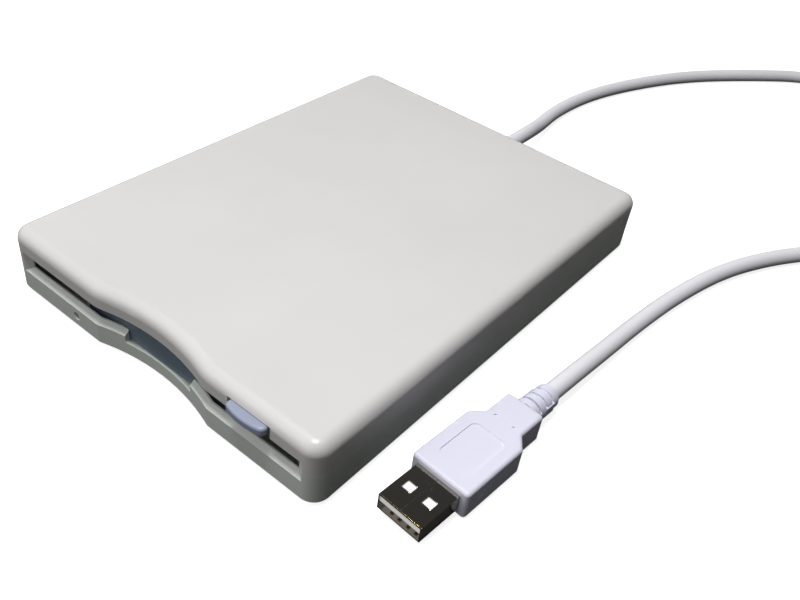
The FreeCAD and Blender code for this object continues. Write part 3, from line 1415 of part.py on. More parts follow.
def plug_overmould():
    """Moulded grip with stepped shoulders, sunk panel, side grooves and ribbed relief."""
    body = new_body("plug_body")
    wide, slim = s.plug_width / 2, s.plug_neck_width / 2
    grip, shoulder, end = s.plug_grip_length, s.plug_shoulder, s.plug_length
    sketch = new_sketch(body, "plug_outline", "XY_Plane", 0)
    sketch_outline(sketch, [(-wide, 0), (wide, 0), (wide, grip), (slim, grip + shoulder), (slim, end),
                            (-slim, end), (-slim, grip + shoulder), (-wide, grip)])
    raised = pad(body, sketch, s.plug_height)
    high = float(s.plug_height)
    turned = round_edges(body, raised, 1.0, lambda e: e.BoundBox.XLength < 1e-4 and e.BoundBox.YLength < 1e-4)
    round_edges(body, turned, 0.9, lambda e: at_height(high)(e) or at_height(0.0)(e))
    panel = new_sketch(body, "plug_panel", "XY_Plane", s.plug_height)
    sketch_rectangle(panel, (-wide + 3.3, wide - 3.3), (Size.of(4.0), grip - 1.5), Size.of(2.0))
    pocket(body, panel, 0.3)
    dimples = new_sketch(body, "plug_dimples", "XY_Plane", s.plug_height)
    for x in (-2.6, 2.6):
        sketch_circle(dimples, x, grip + shoulder, 0.4)
    pocket(body, dimples, 0.4)
    tools = []
    for index in range(6):
        y = 4.6 + index * 0.8
        for side, x in enumerate((-wide, wide)):
            tools.append(block("grip_groove_%d_%d" % (index, side), (x - 0.35, x + 0.35), (y, y + 0.4),
                               (3.4, s.plug_height - 0.9)))
    relief_low = s.plug_height / 2
    shape = [rod("relief_core", (0, end - 0.5, relief_low), s.cord_diameter / 2 + 0.45,
                 s.plug_relief_length + 0.5, "Y")]
    length = s.plug_relief_length / 4
    for ring in range(4):
        wide_ring = s.plug_relief_radius - 0.16 * ring
        shape.append(rod("relief_ring_%d" % ring, (0, end + length * ring + 0.0, relief_low), wide_ring,
                         length - 0.75, "Y"))
        if ring < 3:
            for side, x in enumerate((-1, 1)):
                shape.append(block("relief_link_%d_%d" % (ring, side),
                                   (x * 2.6 - 0.7, x * 2.6 + 0.7), (end + length * ring, end + length * (ring + 1)),
                                   (relief_low - 1.3, relief_low + 1.3)))
    pocket_for_shell = block("plug_socket", (-s.plug_shell_width / 2 - s.fit_gap, s.plug_shell_width / 2 + s.fit_gap),
                             (-1.0, 4.0), (relief_low - s.plug_shell_height / 2 - s.fit_gap,
                                           relief_low + s.plug_shell_height / 2 + s.fit_gap))
    tools.append(pocket_for_shell)
    whole = cut("plug_overmould_cut", joined("plug_overmould_whole", [body] + shape), tools)
    return node("plug_overmould", in_plug(whole))


def plug_shell():
    """Folded metal shell with two latch windows on each side and an open mouth."""
    wide, high = s.plug_shell_width / 2, s.plug_shell_height / 2
    middle = s.plug_height / 2
    sheet = s.plug_shell_sheet
    outer = block("shell_outer", (-wide, wide), (-s.plug_shell_length, 3.9), (middle - high, middle + high))
    inner = block("shell_inner", (-wide + sheet, wide - sheet), (-s.plug_shell_length - 1, 3.0),
                  (middle - high + sheet, middle + high - sheet))
    tools = [inner]
    for index, x in enumerate((-2.85, 2.85)):
        tools.append(block("shell_window_%d" % index, (x - 1.25, x + 1.25), (-7.2, -5.0),
                           (middle - high - 1, middle + high + 1)))
    return node("plug_shell", in_plug(cut("plug_shell_cut", outer, tools)))


def plug_tongue():
    """White tongue under the top of the shell and its four contacts."""
    wide = s.plug_shell_width / 2 - s.plug_shell_sheet - 0.05
    middle = s.plug_height / 2
    top = middle + s.plug_shell_height / 2 - s.plug_shell_sheet - 0.02
    plate = block("tongue_plate", (-wide, wide), (-s.plug_shell_length + 0.25, 2.9), (top - 1.84, top))
    tools = []
    contacts = []
    for index, x in enumerate((-3.5, -1.25, 1.25, 3.5)):
        half = 0.5
        tools.append(block("tongue_slot_%d" % index, (x - half, x + half), (-s.plug_shell_length + 1.8, 4),
                           (top - 1.9, top - 1.6)))
        contacts.append(block("contact_%d" % index, (x - half + 0.05, x + half - 0.05),
                              (-s.plug_shell_length + 1.9, 2.8), (top - 1.85, top - 1.6)))
    node("plug_tongue", in_plug(cut("plug_tongue_cut", plate, tools)))
    together = doc.addObject("Part::Compound", "plug_contacts_group")
    together.Links = contacts
    node("plug_contacts", in_plug(together))


def usb_cord():
    """Both free stretches and the coil between them."""
    coil_in, heading_in, coil_out, heading_out, length = cable_coil()
    rear_points = [Vector(*point) for point in REAR_ROUTE] + [coil_in]
    front_points = [coil_out] + [Vector(*point) for point in FRONT_ROUTE]
    end = float(s.plug_length + s.plug_relief_length)
    front_points += [plug_axis_point(end + 9.0, float(s.plug_height) / 2),
                     plug_axis_point(end, float(s.plug_height) / 2)]
    total = length
    for label, points in (("usb_cable_rear", rear_points), ("usb_cable_front", front_points)):
        path, radii = corner_path(points)
        print(label, "radii:", " ".join("%.0f" % radius for radius in radii))
        print(label, "runs:", " ".join("%.1f" % (b - a).Length for a, b in zip(points, points[1:])))
        swept_cord(label, path, points)
        total += path.Length
    print("coil in", tuple(round(v, 2) for v in coil_in), "coil out", tuple(round(v, 2) for v in coil_out))
    print("cord length %.1f" % total)


def write_parts():
    """Check every object, then write each node's solids."""
    doc.recompute()
    for item in doc.Objects:
        if "Invalid" in item.State or "Error" in item.State:
            raise RuntimeError("%s did not compute: %s" % (item.Name, item.State))
    for label, piece in NODES:
        if piece.Shape.isNull() or not piece.Shape.isValid() or piece.Shape.Volume <= 0:
            raise RuntimeError("%s has no valid shape" % label)
    os.makedirs("parts", exist_ok=True)
    for label, piece in NODES:
        piece.Shape.exportStep("parts/%s.step" % label)
        box = piece.Shape.BoundBox
        print("%-18s solids %2d volume %9.2f x %7.2f..%7.2f y %7.2f..%7.2f z %6.2f..%6.2f" % (
            label, len(piece.Shape.Solids), piece.Shape.Volume, box.XMin, box.XMax, box.YMin, box.YMax,
            box.ZMin, box.ZMax))
    print("%d nodes" % len(NODES))


def main():
    top_shell()
    bottom_shell()
    rubber_feet()
    case_screws()
    eject_button()
    dust_flap()
    indicator_led()
    drive_frame()
    frame_screws()
    shield_cover()
    disk_holder()
    slider_plate()
    shutter_lever()
    lever_pivot()
    spindle_hub()
    spindle_parts()
    motor_board()
    head_carriage()
    upper_arm()
    guide_rods()
    stepper()
    control_board()
    strain_relief()
    usb_cord()
    cable_tie()
    plug_overmould()
    plug_shell()
    plug_tongue()
    write_parts()


main()
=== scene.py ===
"""Looks of a slim external floppy disk drive with its captive USB cord.

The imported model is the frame. This script adds the finishes, the cord's smooth line and the small
details that are too fine for the solids, then the floor, the light and the camera.
"""
import json
import logging
import math
from dataclasses import dataclass, field
from enum import Enum
from typing import Iterable

import bmesh
import bpy
from mathutils import Matrix, Vector


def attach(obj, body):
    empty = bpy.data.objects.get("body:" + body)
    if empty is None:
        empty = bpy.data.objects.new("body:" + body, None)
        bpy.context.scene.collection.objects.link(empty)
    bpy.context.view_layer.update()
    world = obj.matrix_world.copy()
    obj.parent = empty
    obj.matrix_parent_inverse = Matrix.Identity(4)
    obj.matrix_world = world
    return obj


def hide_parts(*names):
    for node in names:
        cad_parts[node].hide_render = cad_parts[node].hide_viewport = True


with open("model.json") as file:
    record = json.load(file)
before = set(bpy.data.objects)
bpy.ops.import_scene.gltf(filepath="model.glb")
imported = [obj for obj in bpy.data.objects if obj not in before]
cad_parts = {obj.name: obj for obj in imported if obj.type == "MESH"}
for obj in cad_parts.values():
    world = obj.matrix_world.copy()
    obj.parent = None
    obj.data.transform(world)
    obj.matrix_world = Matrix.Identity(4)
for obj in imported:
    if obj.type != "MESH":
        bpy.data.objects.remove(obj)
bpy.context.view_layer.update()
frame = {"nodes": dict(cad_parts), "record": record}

MM = 0.001
Point = tuple[float, float, float]
Block = tuple[Point, Point]
log = logging.getLogger("floppy_drive")


class Grain(Enum):
    """The kinds of fine surface that the finishes have."""

    SPARK = "spark-eroded plastic"
    BRUSHED = "drawn or rolled metal"
    SMOOTH = "polished or bare"


@dataclass(frozen=True)
class Finish:
    """How one material looks.

    Args:
        colour: sRGB hex of the surface in even light.
        roughness: mean roughness.
        metallic: 1 for metals.
        grain: the kind of fine surface.
        grain_mm: size of one grain in millimetres.
        relief: height of the grain in millimetres.
        shade: how much the colour drifts across the piece, from 0 to 1; on most pieces random tone, on the
            plug's shell a painted cloudy reflection.
        specular: strength of the clear reflection.
        coat: strength of a clear coat.
        rim_highlight: painted highlight, how much lighter the rounded edges are, from 0 to 1.
        glow: strength of light given off.
    """

    colour: str
    roughness: float = 0.5
    metallic: float = 0.0
    grain: Grain = Grain.SPARK
    grain_mm: float = 0.35
    relief: float = 0.012
    shade: float = 0.04
    specular: float = 0.45
    coat: float = 0.0
    rim_highlight: float = 0.0
    glow: float = 0.0


FINISHES: dict[str, Finish] = {
    # warm white ABS of the case, lightly spark-eroded
    "top_plastic": Finish("#DCDAD8", 0.38, grain_mm=0.30, relief=0.006, shade=0.035, coat=0.30, rim_highlight=0.5),
    "base_plastic": Finish("#D5DAD3", 0.44, grain_mm=0.30, relief=0.008, shade=0.04, coat=0.20, rim_highlight=0.35),
    "foot_rubber": Finish("#1B1B1C", 0.85, grain_mm=0.5, relief=0.02),
    "screw_steel": Finish("#8E8F92", 0.32, 1.0, Grain.BRUSHED, 0.2, 0.002),
    # lavender ABS of the button, smoother than the case
    "button_plastic": Finish("#9DA4BA", 0.34, grain_mm=0.2, relief=0.002, shade=0.03, coat=0.15, rim_highlight=0.3),
    "flap_plastic": Finish("#6C7B89", 0.42, grain_mm=0.3, relief=0.004, shade=0.05, rim_highlight=0.3),
    "lamp_lens": Finish("#3C423B", 0.18, grain=Grain.SMOOTH, relief=0.0, coat=0.6),
    # zinc-plated sheet of the mechanism
    "frame_steel": Finish("#A3A5A6", 0.34, 1.0, Grain.BRUSHED, 0.4, 0.002, 0.10),
    "sheet_steel": Finish("#B2B4B5", 0.30, 1.0, Grain.BRUSHED, 0.4, 0.002, 0.08),
    "hub_steel": Finish("#BDBEC0", 0.24, 1.0, Grain.BRUSHED, 0.25, 0.002, 0.06),
    "magnet_ferrite": Finish("#3A3A3C", 0.62, grain_mm=0.2, relief=0.01),
    "bearing_brass": Finish("#B89B5E", 0.30, 1.0, Grain.BRUSHED, 0.2, 0.002),
    "core_steel": Finish("#2E3034", 0.45, grain_mm=0.15, relief=0.004),
    "coil_copper": Finish("#A8552C", 0.30, 0.8, Grain.BRUSHED, 0.18, 0.02),
    "board_green": Finish("#24563A", 0.32, grain_mm=0.6, relief=0.004, coat=0.4, shade=0.10),
    "chip_black": Finish("#202123", 0.55, grain_mm=0.15, relief=0.006),
    "carriage_plastic": Finish("#2B2C2E", 0.50, grain_mm=0.3, relief=0.006),
    "rod_steel": Finish("#CFD0D2", 0.12, 1.0, Grain.SMOOTH, 0.2, 0.0, 0.03),
    "head_ceramic": Finish("#35302E", 0.15, grain=Grain.SMOOTH, relief=0.0, coat=0.5),
    "header_plastic": Finish("#E4DECF", 0.42, grain_mm=0.2, relief=0.003),
    # lavender-white PVC of the cord and of the moulded plug
    "cord_vinyl": Finish("#F0F0F5", 0.44, grain_mm=0.5, relief=0.005, shade=0.03, specular=0.35),
    "tie_black": Finish("#222224", 0.60, grain_mm=0.3, relief=0.01),
    "plug_vinyl": Finish("#E6E6F6", 0.42, grain_mm=0.28, relief=0.010, shade=0.03, specular=0.4, rim_highlight=0.2),
    # the plug shell's strong colour drift is a painted cloudy reflection
    "plug_steel": Finish("#B5B1A8", 0.13, 1.0, Grain.BRUSHED, 0.35, 0.0008, 0.25),
    # the tongue's glow is painted light, lifting it out of the shade in the plug's mouth
    "tongue_white": Finish("#F1F1F1", 0.35, grain=Grain.SMOOTH, relief=0.0, glow=0.30),
    "contact_gold": Finish("#D7B364", 0.20, 1.0, Grain.SMOOTH, 0.2, 0.0),
}


def linear(code: str) -> tuple[float, float, float, float]:
    """Turn an sRGB hex colour into linear light.

    Args:
        code: a colour such as "#A0B0C0".

    Returns:
        Red, green and blue in linear light, and an alpha of 1.
    """
    def channel(text: str) -> float:
        value = int(text, 16) / 255
        return value / 12.92 if value <= 0.04045 else ((value + 0.055) / 1.055) ** 2.4

    return channel(code[1:3]), channel(code[3:5]), channel(code[5:7]), 1.0


class NodeTree:
    """A material's nodes, added one at a time."""

    def __init__(self, tree: bpy.types.NodeTree) -> None:
        """Start from an empty tree."""
        self.tree = tree
        tree.nodes.clear()

    def add(self, kind: str, settings: dict | None = None, **links: object) -> bpy.types.Node:
        """Add a node, set its properties and fill its sockets.

        Args:
            kind: the node's type.
            settings: attributes of the node itself.
            links: socket name, with _ for a space, or a number as i0, to a value or an output socket.

        Returns:
            The new node.
        """
        node = self.tree.nodes.new(kind)
        for name, value in (settings or {}).items():
            setattr(node, name, value)
        for name, value in links.items():
            key = int(name[1:]) if name[0] == "i" and name[1:].isdigit() else name.replace("_", " ")
            socket = node.inputs[key]
            if isinstance(value, bpy.types.NodeSocket):
                self.tree.links.new(value, socket)
            else:
                socket.default_value = value
        return node


class Paint:
    """Makes each slot's material once."""

    drift_mm: float = 38.0
    smudge_mm: float = 9.0
    speck: float = 0.06
    coat_roughness: float = 0.22
    bump_strength: float = 0.8
    # lift and width of the painted highlight on rounded rims
    rim_highlight_lift: float = 1.18
    rim_highlight_width_mm: float = 0.6

    def __init__(self, finishes: dict[str, Finish]) -> None:
        """Keep the finishes by slot name."""
        self.finishes = finishes
        self.made: dict[str, bpy.types.Material] = {}

    def material(self, slot: str) -> bpy.types.Material:
        """Give the material of a slot.

        Args:
            slot: the record's material slot.

        Returns:
            A node-based material.
        """
        if slot not in self.made:
            self.made[slot] = self.build(slot, self.finishes[slot])
        return self.made[slot]

    def build(self, slot: str, finish: Finish) -> bpy.types.Material:
        """Build one material from its finish."""
        material = bpy.data.materials.new(slot)
        material.use_nodes = True
        material.diffuse_color = linear(finish.colour)
        tree = NodeTree(material.node_tree)
        place = tree.add("ShaderNodeTexCoord").outputs["Object"]
        stretch = (1.0, 0.04, 1.0) if finish.grain is Grain.BRUSHED else (1.0, 1.0, 1.0)
        along = tree.add("ShaderNodeMapping", Vector=place, Scale=stretch).outputs["Vector"]
        fine = tree.add("ShaderNodeTexNoise", Vector=along, Scale=1 / (finish.grain_mm * MM),
                        Detail=3.0, Roughness=0.6).outputs["Fac"]
        broad = tree.add("ShaderNodeTexNoise", Vector=place, Scale=1 / (self.drift_mm * MM),
                         Detail=2.0).outputs["Fac"]
        smudge = tree.add("ShaderNodeTexNoise", Vector=place, Scale=1 / (self.smudge_mm * MM), Detail=4.0,
                          Distortion=0.6).outputs["Fac"]

        # broad colour drift: random tone, and on the plug's shell a painted reflection
        base = linear(finish.colour)
        darker = tuple(c * (1 - finish.shade * 2) for c in base[:3]) + (1.0,)
        lighter = tuple(min(1.0, c * (1 + finish.shade)) for c in base[:3]) + (1.0,)
        drift = tree.add("ShaderNodeMix", {"data_type": "RGBA"}, Factor=broad,
                         i6=darker, i7=lighter).outputs[2]
        grey = tree.add("ShaderNodeCombineColor", Red=fine, Green=fine, Blue=fine).outputs[0]
        speck = tree.add("ShaderNodeMix", {"data_type": "RGBA", "blend_type": "MULTIPLY"},
                         Factor=self.speck, i6=drift, i7=grey)
        colour = speck.outputs[2]
        # painted highlight: the rounded rims are lightened as if they caught the light
        if finish.rim_highlight:
            edge = self.rim_highlight_mask(tree)
            amount = tree.add("ShaderNodeMath", {"operation": "MULTIPLY"}, i0=edge,
                              i1=finish.rim_highlight).outputs[0]
            colour = tree.add("ShaderNodeMix", {"data_type": "RGBA"}, Factor=amount, i6=colour,
                              i7=tuple(min(1.0, c * self.rim_highlight_lift) for c in base[:3]) + (1.0,)).outputs[2]
        rough = tree.add("ShaderNodeMapRange", Value=smudge, To_Min=finish.roughness * 0.88,
                         To_Max=min(1.0, finish.roughness * 1.14)).outputs[0]
        surface = tree.add("ShaderNodeBsdfPrincipled", Base_Color=colour, Roughness=rough,
                           Metallic=finish.metallic)
        surface.inputs["Specular IOR Level"].default_value = finish.specular
        surface.inputs["Coat Weight"].default_value = finish.coat
        surface.inputs["Coat Roughness"].default_value = self.coat_roughness
        # painted light: the piece gives off light though it is no lamp
        if finish.glow:
            surface.inputs["Emission Color"].default_value = base
            surface.inputs["Emission Strength"].default_value = finish.glow
        if finish.relief:
            bump = tree.add("ShaderNodeBump", Height=fine, Distance=finish.relief * MM,
                            Strength=self.bump_strength)
            tree.tree.links.new(bump.outputs[0], surface.inputs["Normal"])
        tree.add("ShaderNodeOutputMaterial", Surface=surface.outputs[0])
        return material

    def rim_highlight_mask(self, tree: NodeTree) -> bpy.types.NodeSocket:
        """Where a piece's rounded rims get a painted highlight."""
        rim = tree.add("ShaderNodeBevel", {"samples": 4}, Radius=self.rim_highlight_width_mm * MM).outputs[0]
        flat = tree.add("ShaderNodeNewGeometry").outputs["Normal"]
        dot = tree.add("ShaderNodeVectorMath", {"operation": "DOT_PRODUCT"},
                       i0=rim, i1=flat).outputs["Value"]
        return tree.add("ShaderNodeMapRange", Value=dot, From_Min=0.995, From_Max=0.90, To_Min=0.0,
                        To_Max=1.0).outputs[0]


PAINT = Paint(FINISHES)


def new_mesh(name: str, bm: bmesh.types.BMesh, smooth: bool = True) -> bpy.types.Object:
    """Turn a bmesh into an object.

    Args:
        name: the piece's name.
        bm: the mesh, which is freed.
        smooth: whether the faces shade smoothly.

    Returns:
        The linked object.
    """
    mesh = bpy.data.meshes.new(name)
    bmesh.ops.recalc_face_normals(bm, faces=bm.faces)
    bm.to_mesh(mesh)
    bm.free()
    for polygon in mesh.polygons:
        polygon.use_smooth = smooth
    piece = bpy.data.objects.new(name, mesh)
    bpy.context.scene.collection.objects.link(piece)
    return piece


def finish_piece(piece: bpy.types.Object, body: str, slot: str) -> bpy.types.Object:
    """Give a new piece its material, slot and body, and log it."""
    piece.data.materials.clear()
    piece.data.materials.append(PAINT.material(slot))
    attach(piece, body)
    log.info("%s rides on %s in %s", piece.name, body, slot)
    return piece


def soft_block(bm: bmesh.types.BMesh, low: Point, high: Point, edge: float,
               turn: Matrix | None = None) -> None:
    """Add a block with rounded edges to a mesh.

    Args:
        bm: the mesh to add to.
        low: lowest corner in millimetres.
        high: highest corner in millimetres.
        edge: radius of the edges in millimetres.
        turn: where the block's own frame lies.
    """
    centre = [(a + b) / 2 for a, b in zip(low, high)]
    size = [b - a for a, b in zip(low, high)]
    place = Matrix.Translation(Vector(centre) * MM) @ Matrix.Diagonal([*(v * MM for v in size), 1.0])
    made = bmesh.ops.create_cube(bm, size=1.0, matrix=(turn or Matrix()) @ place)
    edges = {e for v in made["verts"] for e in v.link_edges}
    bmesh.ops.bevel(bm, geom=list(edges), offset=edge * MM, segments=3, affect="EDGES", profile=0.5)


@dataclass
class Cord:
    """The lavender-white USB cord on one smooth line, from the case to the plug.

    The routes are the points that the solids follow, in metres.
    """

    diameter: float = 4.8 * MM
    length: float = 0.829
    rear: list[Point] = field(default_factory=lambda: [
        (0.0, 0.082, 0.008), (0.0, 0.092, 0.008), (-0.0036, 0.107, 0.0038), (-0.0068, 0.126, 0.0024),
        (-0.005, 0.149, 0.0024), (0.003, 0.175, 0.0024), (0.0146, 0.2, 0.0024), (0.032, 0.224, 0.0024),
        (0.052, 0.247, 0.0024), (0.077, 0.2505, 0.0026), (0.1037, 0.2356, 0.003),
    ])
    front: list[Point] = field(default_factory=lambda: [
        (0.1349, 0.1764, 0.0083), (0.1265, 0.1565, 0.0036), (0.115, 0.135, 0.0024), (0.103, 0.1145, 0.0024),
        (0.0908, 0.097, 0.0024), (0.0818, 0.0775, 0.0024), (0.0768, 0.056, 0.0024),
        (0.0742, 0.0355, 0.0024),
        (0.073, 0.017, 0.0029), (0.0721, 0.0012, 0.004), (0.07146, -0.0078, 0.004),
    ])
    coil_centre: tuple[float, float] = (0.112, 0.196)
    coil_radius: float = 0.0288
    coil_step: float = 0.0064
    coil_start: float = 58.0
    coil_turned: float = 801.0
    coil_low: float = 0.0030
    coil_climb: float = 0.0053
    coil_knot_turn: float = 22.5
    # the knots lie this much outside the line they draw
    knot_share: float = 0.981

    def coil(self) -> list[Point]:
        """The put-away turns: a spiral in, a climb in half a turn and a spiral out on top.

        Returns:
            Control points, sixteen to a turn.
        """
        points = []
        flat = (self.coil_turned - 180) / 2
        count = round(self.coil_turned / self.coil_knot_turn)
        for index in range(count + 1):
            turned = self.coil_turned * index / count
            share = min(1.0, max(0.0, (turned - flat) / 180))
            inward = min(turned, flat) if turned <= flat + 180 else self.coil_turned - turned
            reach = (self.coil_radius - self.coil_step * inward / 360) / self.knot_share
            at = math.radians(self.coil_start - turned)
            height = self.coil_low + self.coil_climb * share * share * (3 - 2 * share)
            points.append((self.coil_centre[0] + reach * math.cos(at),
                           self.coil_centre[1] + reach * math.sin(at), height))
        return points

    def line(self, name: str, bevel: float) -> bpy.types.Object:
        """The cord's curve as one open spline.

        Args:
            name: the object's name.
            bevel: radius of the tube round it.

        Returns:
            The linked curve.
        """
        curve = bpy.data.curves.new(name, "CURVE")
        curve.dimensions = "3D"
        curve.bevel_depth = bevel
        curve.bevel_resolution = 10
        curve.resolution_u = 10
        curve.use_fill_caps = True
        points = self.rear + self.coil() + self.front
        spline = curve.splines.new("NURBS")
        spline.points.add(len(points) - 1)
        for knot, point in zip(spline.points, points):
            knot.co = (*point, 1.0)
        spline.order_u = 3
        spline.use_endpoint_u = True
        spline.use_smooth = True
        piece = bpy.data.objects.new(name, curve)
        bpy.context.scene.collection.objects.link(piece)
        return piece

    def build(self) -> bpy.types.Object:
        piece = self.line("usb_cord", self.diameter / 2)
        finish_piece(piece, "case", "cord_vinyl")
        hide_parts("usb_cable_rear", "cable_coil", "usb_cable_front")
        return piece


@dataclass
class Plug:
    """Fine lines of the moulded USB plug, in the plug's own millimetres."""

    corner: Point = (68.5, -49.1, 0.0)
    turn: float = -4.1
    shell_marks: tuple[Block, ...] = (
        ((-0.06, -11.9, 1.72), (0.06, -0.6, 1.76)),
        ((-0.07, -11.9, 6.235), (0.07, -0.4, 6.262)),
        ((-0.9, -2.6, 6.24), (-0.5, -2.0, 6.262)),
        ((0.5, -3.4, 6.24), (0.9, -2.8, 6.262)),
    )
    mouth_edges: tuple[Block, ...] = (
        ((-6.0, -12.03, 6.14), (6.0, -11.92, 6.26)),
        ((-6.0, -12.03, 1.74), (6.0, -11.92, 1.86)),
    )
    window_x: float = 2.85
    window_half: float = 1.40
    window_ends: tuple[float, float] = (-7.35, -4.85)
    window_rim: float = 0.15
    window_levels: tuple[float, float] = (6.23, 6.275)
    panel_half: float = 4.85
    panel_ends: tuple[float, float] = (3.85, 17.65)
    panel_rim: float = 0.22
    panel_corner: float = 2.0
    panel_levels: tuple[float, float] = (7.72, 7.86)

    def frame(self) -> Matrix:
        """The plug's own frame in the row frame, in metres."""
        turned = Matrix.Rotation(math.radians(self.turn), 4, "Z")
        return Matrix.Translation(Vector(self.corner) * MM) @ turned

    def build(self) -> None:
        """Add the shell's seam and marks, the window rims, the panel's rim and the mouth's edges."""
        self.piece("shell_seam", "chip_black", self.shell_marks, 0.008)
        self.piece("window_rims", "plug_steel", self.windows(), 0.02)
        self.piece("panel_rim", "plug_vinyl", self.panel(), 0.06)
        self.piece("mouth_rim", "contact_gold", self.mouth_edges, 0.02)

    def piece(self, name: str, slot: str, blocks: Iterable[Block], edge: float) -> None:
        """Make one piece of several fine blocks.

        Args:
            name: the piece's name.
            slot: its material slot.
            blocks: lowest and highest corner of each block.
            edge: radius of the blocks' edges.
        """
        bm = bmesh.new()
        for low, high in blocks:
            soft_block(bm, low, high, edge, self.frame())
        finish_piece(new_mesh(name, bm), "case", slot)

    def windows(self) -> Iterable[Block]:
        """The four sides of the rim round each of the shell's two windows."""
        half, rim = self.window_half, self.window_rim
        near, far = self.window_ends
        low, high = self.window_levels
        for x in (-self.window_x, self.window_x):
            yield (x - half, near, low), (x - half + rim, far, high)
            yield (x + half - rim, near, low), (x + half, far, high)
            yield (x - half, near, low), (x + half, near + rim, high)
            yield (x - half, far - rim, low), (x + half, far, high)

    def panel(self) -> Iterable[Block]:
        """The four sides of the fine raised line round the grip's sunk panel."""
        half, rim, corner = self.panel_half, self.panel_rim, self.panel_corner
        near, far = self.panel_ends
        low, high = self.panel_levels
        yield (-half + corner, near, low), (half - corner, near + rim, high)
        yield (-half + corner, far - rim, low), (half - corner, far, high)
        for x in (-half, half - rim):
            yield (x, near + corner, low), (x + rim, far - corner, high)


@dataclass
class Mechanism:
    """Fine parts inside the case, in millimetres."""

    screw_x: float = -26.0
    screw_z: float = 8.9
    screw_radius: float = 1.2
    thread_start: float = 32.8
    thread_length: float = 17.2
    thread_turns: int = 6
    thread_knots: int = 24
    thread_wire: float = 0.16
    thread_sink: float = 0.98
    # low x, high x, low y, high y and the height of the board under each chip
    chips: tuple[tuple[float, ...], ...] = ((22.0, 31.0, -8.0, 4.0, 4.4), (26.0, 35.0, 39.0, 48.0, 5.3))
    leg_pitch: float = 0.8
    leg_reach: float = 0.9
    leg_width: float = 0.35
    leg_first: float = 0.7
    leg_levels: tuple[float, float] = (0.02, 0.22)
    spring_places: tuple[float, ...] = (-41.0, -37.5, 38.5, 42.0)
    spring_half: float = 0.7
    spring_ends: tuple[float, float] = (-55.9, -50.0)
    spring_levels: tuple[float, float] = (12.02, 12.14)

    def build(self) -> None:
        """Add the lead screw's thread, the chips' legs and the holder's leaf springs."""
        self.thread()
        self.chip_legs()
        self.contact_springs()

    def thread(self) -> None:
        """The lead screw's raised thread, six turns along its free length."""
        curve = bpy.data.curves.new("lead_thread", "CURVE")
        curve.dimensions = "3D"
        curve.bevel_depth = self.thread_wire * MM
        curve.bevel_resolution = 3
        spline = curve.splines.new("POLY")
        count = self.thread_knots * self.thread_turns
        reach = self.screw_radius * self.thread_sink
        spline.points.add(count)
        for index in range(count + 1):
            turn = 2 * math.pi * index / self.thread_knots
            spline.points[index].co = ((self.screw_x + reach * math.cos(turn)) * MM,
                                       (self.thread_start + self.thread_length * index / count) * MM,
                                       (self.screw_z + reach * math.sin(turn)) * MM, 1.0)
        piece = bpy.data.objects.new("lead_thread", curve)
        bpy.context.scene.collection.objects.link(piece)
        finish_piece(piece, "screw", "rod_steel")

    def chip_legs(self) -> None:
        """Gull-wing legs down both sides of the boards' chips."""
        bm = bmesh.new()
        foot, top = self.leg_levels
        for low_x, high_x, low_y, high_y, board in self.chips:
            for index in range(int((high_y - low_y - 1) / self.leg_pitch)):
                y = low_y + self.leg_first + index * self.leg_pitch
                for x, way in ((low_x, -1), (high_x, 1)):
                    near, far = sorted((x, x + way * self.leg_reach))
                    soft_block(bm, (near, y, board + foot), (far, y + self.leg_width, board + top), 0.04)
        finish_piece(new_mesh("chip_legs", bm), "case", "rod_steel")

    def contact_springs(self) -> None:
        """Bright leaf springs on the holder's front edge, behind the slot's ends."""
        bm = bmesh.new()
        near, far = self.spring_ends
        low, high = self.spring_levels
        for x in self.spring_places:
            soft_block(bm, (x - self.spring_half, near, low), (x + self.spring_half, far, high), 0.03)
        finish_piece(new_mesh("holder_springs", bm), "holder", "rod_steel")


class Casing:
    """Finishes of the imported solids."""

    def build(self) -> None:
        """Paint each node from the record's slots."""
        slots = {part["node"]: part["material_slot"] for part in frame["record"]["subparts"]}
        for name, node in frame["nodes"].items():
            material = PAINT.material(slots[name])
            if not node.material_slots:
                node.data.materials.append(material)
            for slot in node.material_slots:
                slot.material = material
            log.info("%s painted %s", name, slots[name])


@dataclass(frozen=True)
class Lamp:
    """A square soft light aimed at the case."""

    name: str
    spot: Point
    size: float
    power: float


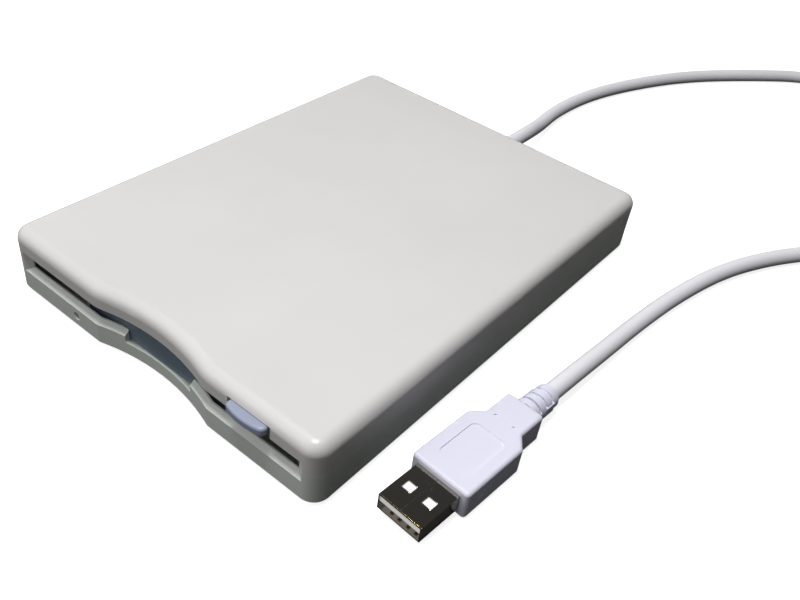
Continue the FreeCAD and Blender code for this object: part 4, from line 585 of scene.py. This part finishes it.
@dataclass
class Studio:
    """Pale floor, soft light and the photograph's camera."""

    spot: Point = (0.12457, -0.15690, 0.15274)
    back: Point = (0.43055, -0.64150, 0.63507)
    right: Point = (0.77200, 0.62600, 0.10900)
    lens: float = 39.53
    paper: str = "#FFFFFF"
    shade_side: Point = (0.97, 0.14, -0.12)
    dark_screen: Point = (-0.30, 0.54, 0.78)
    floor_half: float = 2.5
    floor_drop: float = 0.0002
    aim: Point = (0.02, 0.0, 0.0)
    sensor: float = 36.0
    lamps: tuple[Lamp, ...] = (
        Lamp("key", (0.01, -0.09, 0.46), 0.10, 1.50),
        Lamp("front_fill", (-0.45, -0.68, 0.52), 0.45, 0.85),
    )

    def build(self) -> None:
        """Make the stage."""
        self.floor()
        self.lights()
        self.camera()

    def floor(self) -> None:
        """A plain pale sheet under the object that camera rays see as even white paper."""
        bm = bmesh.new()
        bmesh.ops.create_grid(bm, x_segments=1, y_segments=1, size=self.floor_half)
        piece = new_mesh("floor", bm, smooth=False)
        piece.location.z = -self.floor_drop
        material = bpy.data.materials.new("paper")
        material.use_nodes = True
        tree = NodeTree(material.node_tree)
        seen = tree.add("ShaderNodeLightPath").outputs["Is Camera Ray"]
        matt = tree.add("ShaderNodeBsdfDiffuse", Color=linear("#F2F2F2")).outputs[0]
        dim = tree.add("ShaderNodeBsdfDiffuse", Color=linear("#383838")).outputs[0]
        lit = tree.add("ShaderNodeEmission", Color=linear(self.paper), Strength=0.80).outputs[0]
        both = tree.add("ShaderNodeAddShader", i0=matt, i1=lit).outputs[0]
        mixed = tree.add("ShaderNodeMixShader", i0=seen, i1=dim, i2=both).outputs[0]
        tree.add("ShaderNodeOutputMaterial", Surface=mixed)
        piece.data.materials.append(material)

    def lights(self) -> None:
        """A surround that darkens to the right, a key overhead near the front and a low fill."""
        world = bpy.data.worlds.new("surround")
        bpy.context.scene.world = world
        world.use_nodes = True
        tree = NodeTree(world.node_tree)
        way = tree.add("ShaderNodeTexCoord").outputs["Generated"]
        side = tree.add("ShaderNodeVectorMath", {"operation": "DOT_PRODUCT"}, i0=way, i1=self.shade_side)
        level = tree.add("ShaderNodeMapRange", {"interpolation_type": "SMOOTHSTEP"},
                         Value=side.outputs["Value"],
                         From_Min=-0.45, From_Max=0.75, To_Min=0.62, To_Max=0.03).outputs[0]
        behind = tree.add("ShaderNodeVectorMath", {"operation": "DOT_PRODUCT"}, i0=way, i1=self.dark_screen)
        screen = tree.add("ShaderNodeMapRange", {"interpolation_type": "SMOOTHSTEP"},
                          Value=behind.outputs["Value"],
                          From_Min=0.86, From_Max=0.96, To_Min=1.0, To_Max=0.12).outputs[0]
        level = tree.add("ShaderNodeMath", {"operation": "MULTIPLY"}, i0=level, i1=screen).outputs[0]
        glow = tree.add("ShaderNodeBackground", Color=linear("#FFFFFF"), Strength=level).outputs[0]
        pale = tree.add("ShaderNodeBackground", Color=linear(self.paper), Strength=1.0).outputs[0]
        seen = tree.add("ShaderNodeLightPath").outputs["Is Camera Ray"]
        both = tree.add("ShaderNodeMixShader", i0=seen, i1=glow, i2=pale).outputs[0]
        tree.add("ShaderNodeOutputWorld", Surface=both)
        for lamp in self.lamps:
            light = bpy.data.lights.new(lamp.name, "AREA")
            light.size = lamp.size
            light.energy = lamp.power
            piece = bpy.data.objects.new(lamp.name, light)
            piece.location = lamp.spot
            piece.rotation_mode = "QUATERNION"
            piece.rotation_quaternion = (Vector(self.aim) - Vector(lamp.spot)).to_track_quat("-Z", "Y")
            bpy.context.scene.collection.objects.link(piece)

    def camera(self) -> None:
        """The photograph's view, fitted to the case's outline."""
        back = Vector(self.back).normalized()
        right = Vector(self.right)
        right = (right - back * right.dot(back)).normalized()
        up = back.cross(right)
        data = bpy.data.cameras.new("photo")
        data.lens = self.lens
        data.sensor_width = self.sensor
        data.clip_start = 0.005
        piece = bpy.data.objects.new("photo", data)
        turn = Matrix((right, up, back)).transposed()
        piece.rotation_mode = "QUATERNION"
        piece.rotation_quaternion = turn.to_quaternion()
        piece.location = self.spot
        bpy.context.scene.collection.objects.link(piece)
        bpy.context.scene.camera = piece


def main() -> None:
    """Build the whole scene."""
    logging.basicConfig(level=logging.INFO, format="%(name)s: %(message)s")
    scene = bpy.context.scene
    scene.view_settings.view_transform = "Standard"
    Studio().build()
    Cord().build()
    Casing().build()
    Plug().build()
    Mechanism().build()


if __name__ == "__main__":
    main()
